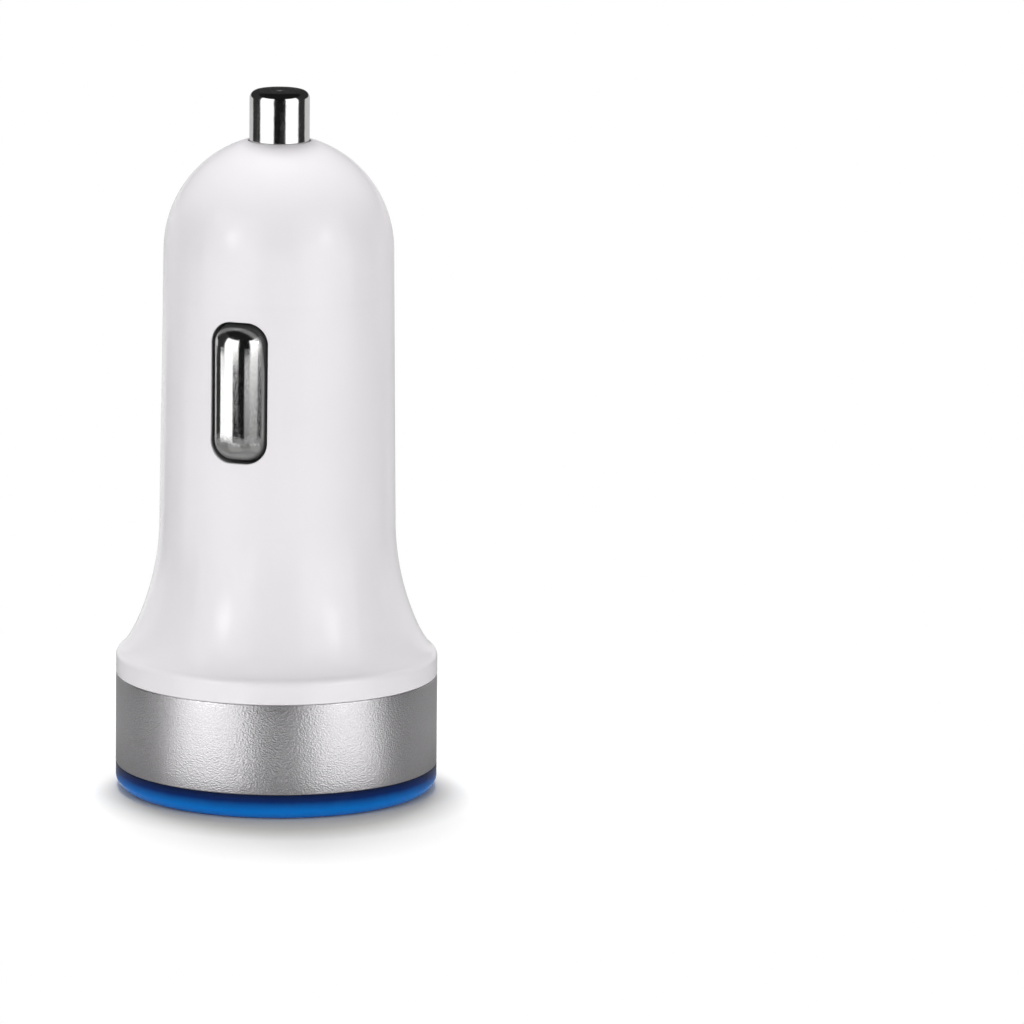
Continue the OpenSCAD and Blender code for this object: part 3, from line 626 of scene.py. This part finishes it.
def add_bump(mat, shader, height, distance, strength=1.0, below=None):
    """Raises the surface by a height field; distance in metres."""
    node = mat.node_tree.nodes.new("ShaderNodeBump")
    node.inputs["Distance"].default_value = distance
    node.inputs["Strength"].default_value = strength
    mat.node_tree.links.new(height, node.inputs["Height"])
    if below is not None:
        mat.node_tree.links.new(below, node.inputs["Normal"])
    mat.node_tree.links.new(node.outputs["Normal"], shader.inputs["Normal"])
    return node.outputs["Normal"]


def tones(colour, spread):
    """A darker and a lighter tone of a colour."""
    return [tuple(c * (1 - spread) for c in colour), tuple(min(1, c * (1 + spread)) for c in colour)]


def finish_material(name, colour, rough, metallic, spread, blotch, grain, depth):
    """A finish with tone, roughness and surface relief that vary over the piece."""
    mat, shader = new_material(name)
    link = mat.node_tree.links.new
    broad = add_noise(mat, blotch, 4.0, seed=1.0)
    dark, light = tones(colour, spread)
    link(add_ramp(mat, broad, [(0.3, dark), (0.7, light)]), shader.inputs["Base Color"])
    fine = add_noise(mat, grain, 3.0, seed=4.0)
    link(add_range(mat, fine, 0.25, 0.75, rough - 0.05, rough + 0.05), shader.inputs["Roughness"])
    add_bump(mat, shader, fine, depth)
    shader.inputs["Metallic"].default_value = metallic
    return mat


def add_axis_distance(mat):
    """Distance of a point from the plug's axis, in metres."""
    tree = mat.node_tree
    flat = tree.nodes.new("ShaderNodeVectorMath")
    flat.operation = "MULTIPLY"
    flat.inputs[1].default_value = (1, 1, 0)
    length = tree.nodes.new("ShaderNodeVectorMath")
    length.operation = "LENGTH"
    tree.links.new(object_point(mat), flat.inputs[0])
    tree.links.new(flat.outputs[0], length.inputs[0])
    return length.outputs["Value"]


def add_height(mat):
    """Height of a point above the table, in metres."""
    split = mat.node_tree.nodes.new("ShaderNodeSeparateXYZ")
    mat.node_tree.links.new(object_point(mat), split.inputs[0])
    return split.outputs["Z"]


def add_math(mat, operation, *values):
    """One step of arithmetic with up to three values, which are sockets or numbers."""
    node = mat.node_tree.nodes.new("ShaderNodeMath")
    node.operation = operation
    for socket, value in zip(node.inputs, values):
        if isinstance(value, (int, float)):
            socket.default_value = value
        else:
            mat.node_tree.links.new(value, socket)
    return node.outputs[0]


def add_shade(mat, colour, amount, dark):
    """Mixes a colour socket towards a dark tone by an amount from 0 to 1."""
    first_colour, second_colour, mixed_colour = 6, 7, 2
    node = mat.node_tree.nodes.new("ShaderNodeMix")
    node.data_type = "RGBA"
    mat.node_tree.links.new(amount, node.inputs["Factor"])
    mat.node_tree.links.new(colour, node.inputs[first_colour])
    node.inputs[second_colour].default_value = (*dark, 1)
    return node.outputs[mixed_colour]


def white_plastic(name, colour, rough):
    """Glossy white moulding: faint waviness, fine skin, softer patches, and painted shade down in its
    slots.
    """
    shade_r, skin_r = 9.95 * MM, 10.2 * MM
    shade_near, shade_far = 7, 8
    mat, shader = new_material(name)
    link = mat.node_tree.links.new
    broad = add_noise(mat, 90, 3.0, seed=2.0)
    dark, light = tones(colour, 0.012)
    skin_tone = add_ramp(mat, broad, [(0.3, dark), (0.7, light)])
    # Painted shade: below the skin the slot walls turn grey, from a little above the slot to a little
    # below it
    painted_depth_shade = add_range(mat, add_axis_distance(mat), shade_r, skin_r, 1.0, 0.0)
    height = add_height(mat)
    above = add_range(mat, height, (SLOT_Z - shade_far) * MM, (SLOT_Z - shade_near) * MM, 0.0, 1.0)
    below = add_range(mat, height, (SLOT_Z + shade_near) * MM, (SLOT_Z + shade_far) * MM, 1.0, 0.0)
    painted_slot_shade = add_math(mat, "MULTIPLY", painted_depth_shade, add_math(mat, "MULTIPLY", above, below))
    link(add_shade(mat, skin_tone, painted_slot_shade, (0.28, 0.28, 0.285)), shader.inputs["Base Color"])
    patch = add_noise(mat, 200, 2.0, seed=5.0)
    link(add_range(mat, patch, 0.3, 0.7, rough - 0.03, rough + 0.03), shader.inputs["Roughness"])
    wave = add_bump(mat, shader, add_noise(mat, 140, 1.0, seed=9.0), 1.2e-5)
    add_bump(mat, shader, add_noise(mat, 5000, 1.0, seed=4.0), 4e-7, below=wave)
    shader.inputs["IOR"].default_value = 1.5
    return mat


def blue_plastic(name):
    """Clear blue moulding with painted shade: dark against the trim ring, bright towards its crest."""
    mat, shader = new_material(name)
    link = mat.node_tree.links.new
    # Painted shade: the colour darkens with height, from bright blue at the crest to navy against the
    # trim ring
    height = add_range(mat, add_height(mat), 0.0, TRIM_Z * MM, 0.0, 1.0)
    ripple = add_noise(mat, 500, 3.0, seed=7.0)
    level = add_math(mat, "MULTIPLY_ADD", ripple, 0.08, height)
    stops = [(0.0, (0.001, 0.215, 0.71)), (0.40, (0.001, 0.19, 0.64)), (0.60, (0.001, 0.10, 0.38)),
             (0.78, (0.001, 0.022, 0.13)), (1.0, (0.001, 0.010, 0.055))]
    link(add_ramp(mat, level, stops), shader.inputs["Base Color"])
    fine = add_noise(mat, 900, 3.0, seed=3.0)
    link(add_range(mat, fine, 0.3, 0.7, 0.12, 0.22), shader.inputs["Roughness"])
    add_bump(mat, shader, add_noise(mat, 260, 2.0, seed=6.0), 1.2e-5)
    shader.inputs["IOR"].default_value = 1.5
    shader.inputs["Specular IOR Level"].default_value = 0.2
    return mat


def blasted_metal(name):
    """Sandblasted aluminium: small pits, a little wider than tall, on a satin ground."""
    pits_per_metre, pit_depth = 5600, 2.6e-5
    mat, shader = new_material(name)
    link = mat.node_tree.links.new
    fine = add_noise(mat, 9500, 2.0, seed=1.0)
    pits = mat.node_tree.nodes.new("ShaderNodeTexVoronoi")
    pits.feature = "SMOOTH_F1"
    pits.inputs["Scale"].default_value = pits_per_metre
    pits.inputs["Smoothness"].default_value = 0.5
    squeeze = mat.node_tree.nodes.new("ShaderNodeVectorMath")
    squeeze.operation = "MULTIPLY"
    squeeze.inputs[1].default_value = (1, 1, 1.7)
    link(object_point(mat), squeeze.inputs[0])
    link(squeeze.outputs[0], pits.inputs["Vector"])
    stops = [(0.30, (0.68, 0.664, 0.682)), (0.5, (0.75, 0.733, 0.753)), (0.70, (0.84, 0.821, 0.843))]
    link(add_ramp(mat, fine, stops), shader.inputs["Base Color"])
    link(add_range(mat, fine, 0.3, 0.7, 0.285, 0.33), shader.inputs["Roughness"])
    pitted = add_bump(mat, shader, pits.outputs["Distance"], pit_depth)
    add_bump(mat, shader, fine, 6e-6, below=pitted)
    shader.inputs["Metallic"].default_value = 1.0
    return mat


def plated_metal(name):
    """Nickel plating with fine drawing grain and faint scuffs."""
    mat, shader = new_material(name)
    link = mat.node_tree.links.new
    broad = add_noise(mat, 700, 4.0, seed=1.0)
    stops = [(0.3, (0.80, 0.795, 0.79)), (0.7, (0.88, 0.875, 0.87))]
    link(add_ramp(mat, broad, stops), shader.inputs["Base Color"])
    scuff = add_noise(mat, 9000, 3.0, (1, 1, 0.35), seed=2.0)
    link(add_range(mat, scuff, 0.3, 0.7, 0.08, 0.17), shader.inputs["Roughness"])
    add_bump(mat, shader, scuff, 1.2e-6)
    shader.inputs["Metallic"].default_value = 1.0
    return mat


def side_plating(name):
    """The same plating on a side contact, with painted shade dark down in its slot and a painted
    reflection, dull grey, at its lower end.
    """
    # Painted shade: a dark band round the contact down in its slot, reaching further on its right and
    # upper sides
    more_right, more_above = 0.26 * MM, 0.40 * MM
    dark_r, bright_r = 9.85 * MM, 10.3 * MM
    dull_z, plain_plating_z = (SLOT_Z - 3.9) * MM, (SLOT_Z - 2.9) * MM
    mat = plated_metal(name)
    tree = mat.node_tree
    link = tree.links.new
    shader = next(n for n in tree.nodes if n.type == "BSDF_PRINCIPLED")
    colour = shader.inputs["Base Color"].links[0].from_socket
    parts = tree.nodes.new("ShaderNodeSeparateXYZ")
    link(object_point(mat), parts.inputs[0])
    across = add_math(mat, "MULTIPLY", parts.outputs["X"], add_math(mat, "SIGN", parts.outputs["Y"]))
    right = add_range(mat, across, -PAD_W / 2 * MM, 0.0, more_right, 0.0)
    upper = add_range(mat, parts.outputs["Z"], (SLOT_Z + 2) * MM, (SLOT_Z + 6) * MM, 0.0, more_above)
    level = add_math(mat, "SUBTRACT", add_axis_distance(mat), add_math(mat, "ADD", right, upper))
    painted_depth_shade = add_range(mat, level, dark_r, bright_r, 1.0, 0.0)
    # Painted reflection: the lower end turns dull grey and less metallic, in place of the shaded table
    # it would reflect
    ragged = add_math(mat, "MULTIPLY", add_noise(mat, 2600, 3.0, seed=8.0), 1.2 * MM)
    low = add_range(mat, add_math(mat, "ADD", parts.outputs["Z"], ragged), dull_z, plain_plating_z, 1.0, 0.0)
    painted_grey_end = add_shade(mat, colour, add_math(mat, "MULTIPLY", low, 0.92), (0.17, 0.168, 0.165))
    link(add_shade(mat, painted_grey_end, painted_depth_shade, (0.05, 0.05, 0.05)), shader.inputs["Base Color"])
    bright = add_range(mat, low, 0.0, 1.0, 1.0, 0.25)
    shallow = add_range(mat, painted_depth_shade, 0.0, 1.0, 1.0, 0.0)
    link(add_math(mat, "MULTIPLY", bright, shallow), shader.inputs["Metallic"])
    return mat


def circuit_board(name):
    """Green solder mask with copper lands that show through it."""
    mat, shader = new_material(name)
    link = mat.node_tree.links.new
    cells = mat.node_tree.nodes.new("ShaderNodeTexVoronoi")
    cells.distance = "MANHATTAN"
    cells.inputs["Scale"].default_value = 380
    cells.inputs["Randomness"].default_value = 0.7
    link(object_point(mat), cells.inputs["Vector"])
    stops = [(0.0, (0.55, 0.50, 0.28)), (0.10, (0.50, 0.42, 0.20)), (0.13, (0.02, 0.14, 0.05)),
             (0.45, (0.012, 0.10, 0.035)), (1.0, (0.008, 0.07, 0.022))]
    link(add_ramp(mat, cells.outputs["Distance"], stops), shader.inputs["Base Color"])
    weave = add_noise(mat, 2500, 2.0, seed=4.0)
    link(add_range(mat, weave, 0.3, 0.7, 0.28, 0.45), shader.inputs["Roughness"])
    add_bump(mat, shader, cells.outputs["Distance"], 2e-5, 0.5)
    return mat


# Colour, roughness, metallic, spread of tone, blotches and grains per metre, grain's depth in metres
FINISHES = {
    # socket_steel is darker than the other steels: partly its own tone, partly painted shade for the
    # unlit insides of the ports
    "socket_steel": ((0.42, 0.42, 0.43), 0.33, 1.0, 0.10, 900, 5000, 3e-6),
    "black_insulator": ((0.045, 0.045, 0.047), 0.42, 0, 0.3, 800, 5000, 5e-6),
    "gold_plate": ((0.83, 0.60, 0.24), 0.20, 1.0, 0.06, 900, 6000, 2e-6),
    "lamp": ((0.80, 0.78, 0.55), 0.35, 0, 0.08, 1500, 6000, 4e-6),
    "ferrite": ((0.055, 0.053, 0.052), 0.62, 0, 0.25, 900, 3500, 1.6e-5),
    "copper_wire": ((0.72, 0.30, 0.13), 0.33, 1.0, 0.10, 1200, 4000, 4e-6),
    "can_sleeve": ((0.62, 0.63, 0.65), 0.33, 1.0, 0.05, 500, 4000, 3e-6),
    "chip_black": ((0.022, 0.022, 0.024), 0.55, 0, 0.3, 1500, 4500, 1.2e-5),
    "tinned_lead": ((0.70, 0.70, 0.69), 0.34, 1.0, 0.08, 1500, 6000, 4e-6),
    "small_ceramic": ((0.42, 0.30, 0.19), 0.50, 0, 0.12, 1500, 5000, 6e-6),
    "fuse_ceramic": ((0.74, 0.73, 0.68), 0.45, 0, 0.05, 1200, 5000, 5e-6),
    "terminal_brass": ((0.76, 0.58, 0.28), 0.34, 1.0, 0.08, 900, 5000, 4e-6),
    "spring_steel": ((0.52, 0.52, 0.53), 0.34, 1.0, 0.08, 1200, 5000, 3e-6),
    "print_ink": ((0.09, 0.09, 0.095), 0.55, 0, 0.15, 1500, 6000, 3e-6),
}
MATERIALS = {name: finish_material(name, *look) for name, look in FINISHES.items()}
MATERIALS["white_housing"] = white_plastic("white_housing", (0.838, 0.817, 0.842), 0.22)
MATERIALS["white_face"] = white_plastic("white_face", (0.82, 0.805, 0.822), 0.32)
for name, make in (("blue_light", blue_plastic), ("blasted_aluminium", blasted_metal),
                   ("plated_contact", plated_metal), ("side_plating", side_plating),
                   ("circuit_board", circuit_board)):
    MATERIALS[name] = make(name)


def dress(obj, material):
    """Gives a piece one material."""
    obj.data.materials.clear()
    obj.data.materials.append(material)


def place(obj, body, slot, *nodes):
    """Puts a made piece on its body in the place of its CAD nodes."""
    dress(obj, MATERIALS[slot])
    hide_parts(*nodes)
    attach(obj, body)


# Every CAD node gets the material of its slot, and the made pieces then replace some of them
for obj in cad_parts.values():
    look = obj.material_slots[0]
    look.material = MATERIALS[look.material.name.split(".")[0]]

place(make_housing(), "root", "white_housing", "housing")
place(make_trim_ring(), "root", "blasted_aluminium", "trim_ring")
place(make_tip(), "tip", "plated_contact", "tip_contact")
for side, word in ((-1, "front"), (1, "back")):
    pad = make_pad(side, word + "_pad")
    place(pad, word + "_contact", "plated_contact", word + "_side_contact")
    dress(pad, MATERIALS["side_plating"])

coil = make_coil()
place(coil, "root", "spring_steel", "tip_spring")
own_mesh(coil)
for side, word in ((-1, "front"), (1, "back")):
    leaf = make_leaf(side, word + "_leaf")
    place(leaf, "root", "spring_steel", word + "_leaf_spring")
    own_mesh(leaf)

for text, word, x in (("1", "upper", DIGIT_X), ("2", "lower", -DIGIT_X)):
    digit = make_digit(text, word + "_port_number", x)
    dress(digit, MATERIALS["print_ink"])
    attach(digit, "root")


# Camera, fitted to the photograph, in metres. The last three turn it from its aim, in degrees
AZIMUTH = math.radians(20)
ELEVATION = math.radians(10.933)
DISTANCE = 0.899916
AIM = Vector((0, 0, 0.031))
LENS = 358.0
SENSOR = 36.0
YAW = 1.319
PITCH = -0.384
ROLL = 0.311


def make_camera():
    """Camera that aims at the plug and then turns by its yaw, pitch and roll."""
    back = Vector((math.sin(AZIMUTH) * math.cos(ELEVATION),
                   -math.cos(AZIMUTH) * math.cos(ELEVATION), math.sin(ELEVATION)))
    ahead = -back
    right = Vector((math.cos(AZIMUTH), math.sin(AZIMUTH), 0))
    up = right.cross(ahead)
    yaw, pitch, roll = (math.radians(a) for a in (YAW, PITCH, ROLL))
    ahead = math.cos(yaw) * ahead + math.sin(yaw) * right
    right = ahead.cross(up).normalized()
    ahead, up = (math.cos(pitch) * ahead + math.sin(pitch) * up,
                 math.cos(pitch) * up - math.sin(pitch) * ahead)
    right, up = (math.cos(roll) * right + math.sin(roll) * up,
                 math.cos(roll) * up - math.sin(roll) * right)
    data = bpy.data.cameras.new("camera")
    data.lens = LENS
    data.sensor_width = SENSOR
    data.sensor_fit = "HORIZONTAL"
    obj = bpy.data.objects.new("camera", data)
    bpy.context.scene.collection.objects.link(obj)
    turn = Matrix((right, up, -ahead)).transposed().to_4x4()
    obj.matrix_world = Matrix.Translation(AIM + back * DISTANCE) @ turn
    bpy.context.scene.camera = obj


make_camera()


# Stage: floor, lamps and cards that only gloss sees
def heading(angle):
    """Direction on the floor at an angle to the right of the camera, seen from the plug."""
    a = AZIMUTH + math.radians(angle)
    return Vector((math.sin(a), -math.cos(a), 0))


def seen_directly(surface):
    """A value that is 1 for camera, glossy and transmission rays, in a material or the world."""
    path = surface.node_tree.nodes.new("ShaderNodeLightPath")
    total = path.outputs["Is Camera Ray"]
    for name in ("Is Glossy Ray", "Is Transmission Ray"):
        total = add_math(surface, "MAXIMUM", total, path.outputs[name])
    return total


def add_mix(surface, share, first, second):
    """Mixes two shaders: the share 0 gives the first and 1 the second."""
    mix = surface.node_tree.nodes.new("ShaderNodeMixShader")
    for socket, value in zip(mix.inputs, (share, first, second)):
        surface.node_tree.links.new(value, socket)
    return mix.outputs[0]


WORLD_LIGHT = 0.43
BACK_LAMP = -174
FLOOR_SIZE = 30
FLOOR_TONE = 0.84

# Painted shadow: the floor's colour darkens by the ring, beside the shadow the lamps cast. The shade's
# middle lies away from the lamp behind
PAINTED_SHADOW_SHIFT = 5
PAINTED_SHADOW_REACH = (12.5, 17.1)
PAINTED_SHADOW_STOPS = [(0.0, (0.74, 0.73, 0.70)), (0.4, (0.83, 0.825, 0.81)), (1.0, (0.97, 0.97, 0.97))]
# Painted: a warm tint right by the ring takes out the blue light that the ring throws on the floor
ANTI_BLUE_TINT_REACH = (14.2, 16.2)
ANTI_BLUE_TINT_STOPS = [(0.0, (1.0, 0.95, 0.86)), (1.0, (1.0, 1.0, 1.0))]
FADE_REACH = (32, 70)


def make_world():
    """Even light from all sides, which gloss and the camera see as white."""
    world = bpy.data.worlds.new("studio")
    bpy.context.scene.world = world
    world.use_nodes = True
    tree = world.node_tree
    tree.nodes.clear()
    out = tree.nodes.new("ShaderNodeOutputWorld")
    soft = tree.nodes.new("ShaderNodeBackground")
    soft.inputs["Strength"].default_value = WORLD_LIGHT
    white = tree.nodes.new("ShaderNodeBackground")
    white.inputs["Strength"].default_value = 1.0
    for node in (soft, white):
        node.inputs["Color"].default_value = (1, 1, 1, 1)
    mixed = add_mix(world, seen_directly(world), soft.outputs[0], white.outputs[0])
    tree.links.new(mixed, out.inputs["Surface"])


def make_floor():
    """White table: lit, with a painted shadow and a warm tint round the plug, plain white further out.
    """
    bpy.ops.mesh.primitive_plane_add(size=FLOOR_SIZE)
    floor = bpy.context.object
    floor.name = "floor"
    mat = bpy.data.materials.new("floor")
    mat.use_nodes = True
    tree = mat.node_tree
    tree.nodes.clear()
    out = tree.nodes.new("ShaderNodeOutputMaterial")
    lit = tree.nodes.new("ShaderNodeBsdfDiffuse")
    lit.inputs["Color"].default_value = (FLOOR_TONE,) * 3 + (1,)
    near = tree.nodes.new("ShaderNodeBsdfDiffuse")
    plain = tree.nodes.new("ShaderNodeEmission")
    link = tree.links.new

    def by_distance(source, reach, curve="LINEAR"):
        return add_range(mat, source, reach[0] * MM, reach[1] * MM, 0.0, 1.0, curve)

    shift = tree.nodes.new("ShaderNodeVectorMath")
    shift.operation = "DISTANCE"
    shift.inputs[1].default_value = heading(BACK_LAMP + 180) * PAINTED_SHADOW_SHIFT * MM
    link(object_point(mat), shift.inputs[0])
    radius = add_axis_distance(mat)
    # The camera sees the floor by the ring with the painted shadow and the warm tint that takes out blue
    # light
    painted_shadow_tint = tree.nodes.new("ShaderNodeVectorMath")
    painted_shadow_tint.operation = "MULTIPLY"
    link(add_ramp(mat, by_distance(shift.outputs["Value"], PAINTED_SHADOW_REACH), PAINTED_SHADOW_STOPS), painted_shadow_tint.inputs[0])
    link(add_ramp(mat, by_distance(radius, ANTI_BLUE_TINT_REACH), ANTI_BLUE_TINT_STOPS), painted_shadow_tint.inputs[1])
    link(painted_shadow_tint.outputs[0], near.inputs["Color"])
    fade = by_distance(radius, FADE_REACH, "SMOOTHSTEP")
    seen = add_mix(mat, fade, near.outputs[0], plain.outputs[0])
    link(add_mix(mat, seen_directly(mat), lit.outputs[0], seen), out.inputs["Surface"])
    dress(floor, mat)


def glow_material(name, tone):
    """Plain glow of one tone, which no lamp changes."""
    mat = bpy.data.materials.new(name)
    mat.use_nodes = True
    mat.node_tree.nodes.clear()
    out = mat.node_tree.nodes.new("ShaderNodeOutputMaterial")
    glow = mat.node_tree.nodes.new("ShaderNodeEmission")
    glow.inputs["Color"].default_value = (min(tone, 1),) * 3 + (1,)
    glow.inputs["Strength"].default_value = max(tone, 1)
    mat.node_tree.links.new(glow.outputs[0], out.inputs["Surface"])
    return mat


def make_card(name, start, end, rim, tone):
    """Card between two headings, for gloss alone. rim holds its (distance, height) points."""
    steps = max(2, math.ceil(abs(end - start) / CARD_STEP))
    verts, faces = [], []
    for i in range(steps + 1):
        way = heading(start + (end - start) * i / steps)
        verts += [(way.x * r, way.y * r, z) for r, z in rim]
    n = len(rim)
    for i in range(steps):
        for k in range(n - 1):
            a, b = i * n + k, (i + 1) * n + k
            faces.append((a, a + 1, b + 1, b))
    card = mesh_object(name, verts, faces)
    dress(card, glow_material(name, tone))
    card.visible_camera = False
    card.visible_diffuse = False
    card.visible_shadow = False
    card.visible_transmission = False


# Cards that gloss sees on the table, in rings from the plug outwards. Each ring has its name, its near
# and far distance and its cards, and each card has the headings of its two ends and its tone
RINGS = [
    ("foot", 14.4, 24, [(-180, 180, 0.22)]),
    ("inner", 24, 38, [(-14, 20, 0.68), (20, 63, 1.13), (63, 180, 0.32), (-180, -63, 0.32),
                       (-63, -14, 1.13)]),
    ("near", 38, 69, [(-15, 21, 0.03), (21, 63, 1.22), (63, 180, 0.31), (-180, -63, 0.31),
                      (-63, -15, 1.24)]),
    ("rim", 69, 110, [(-14, 20, 0.05), (20, 63, 1.2), (63, 180, 0.15), (-180, -63, 0.15),
                      (-63, -14, 1.2)]),
    ("mid", 110, 210, [(-43, 1, 0.005), (1, 52, 0.24), (52, 128, 0.03), (128, 180, 0.5),
                       (180, 217, 0.9), (-143, -100, 0.03), (-100, -43, 1.3)]),
    ("outer", 210, 250, [(-43, 2, 0.005), (2, 56, 1.0), (56, 128, 0.03), (128, 180, 0.5),
                         (180, 217, 0.9), (-143, -100, 0.03), (-100, -43, 1.3)]),
]
# The last cards run on to the wall and up it, to the height that each gives at its end
FAR_CARDS = [(-22, 23, 0.005, 470), (23, 76, 1.3, 400), (76, 112, 0.03, 470), (112, 238, 0.6, 90),
             (-122, -79, 0.03, 470), (-79, -22, 1.3, 400)]
FAR_FROM = 250
WALL = 450
CARD_Z = 0.4
CARD_TOP = 470
HIGH_TONE = 0.03
CEILING_TONE = 0.01
CARD_STEP = 4


def make_cards():
    """Cards on the table, up the wall and over the plug."""
    for word, near, far, cards in RINGS:
        for i, (start, end, tone) in enumerate(cards):
            make_card("card_%s_%d" % (word, i), start, end, [(near, CARD_Z), (far, CARD_Z)], tone)
    for i, (start, end, tone, top) in enumerate(FAR_CARDS):
        rim = [(FAR_FROM, CARD_Z), (WALL, CARD_Z), (WALL, top)]
        make_card("card_far_%d" % i, start, end, rim, tone)
        if top < CARD_TOP:
            make_card("card_high_%d" % i, start, end, [(WALL, top), (WALL, CARD_TOP)], HIGH_TONE)
    make_card("card_ceiling", -180, 180, [(0.1, CARD_TOP), (WALL, CARD_TOP)], CEILING_TONE)


# Heading, distance, height, width, length, strength, and whether gloss sees it. Sizes in metres
LAMPS = {
    "left_fill": (-33, 0.62, 0.14, 0.40, 0.30, 1.95, False),
    "right_fill": (37, 0.62, 0.10, 0.40, 0.30, 2.08, False),
    "left_spark": (-48, 0.42, 0.17, 0.09, 0.09, 5.0, True),
    "right_spark": (50, 0.42, 0.18, 0.09, 0.09, 4.0, True),
    "top_back": (BACK_LAMP, 0.22, 0.68, 0.27, 0.27, 16.0, False),
}
LAMP_AIM = Vector((0, 0, 0.03))


def make_lamp(name, angle, distance, height, width, tall, strength, glossy):
    """Soft rectangular lamp that faces the plug."""
    data = bpy.data.lights.new(name, "AREA")
    data.shape = "RECTANGLE"
    data.size = width
    data.size_y = tall
    data.energy = strength * math.pi * width * tall
    obj = bpy.data.objects.new(name, data)
    bpy.context.scene.collection.objects.link(obj)
    obj.location = heading(angle) * distance + Vector((0, 0, height))
    aim = LAMP_AIM - obj.location
    obj.rotation_euler = aim.to_track_quat("-Z", "Y").to_euler()
    obj.visible_camera = False
    obj.visible_glossy = glossy


bpy.context.scene.view_settings.view_transform = "Standard"
make_world()
make_floor()
make_cards()
for name, values in LAMPS.items():
    make_lamp(name, *values)
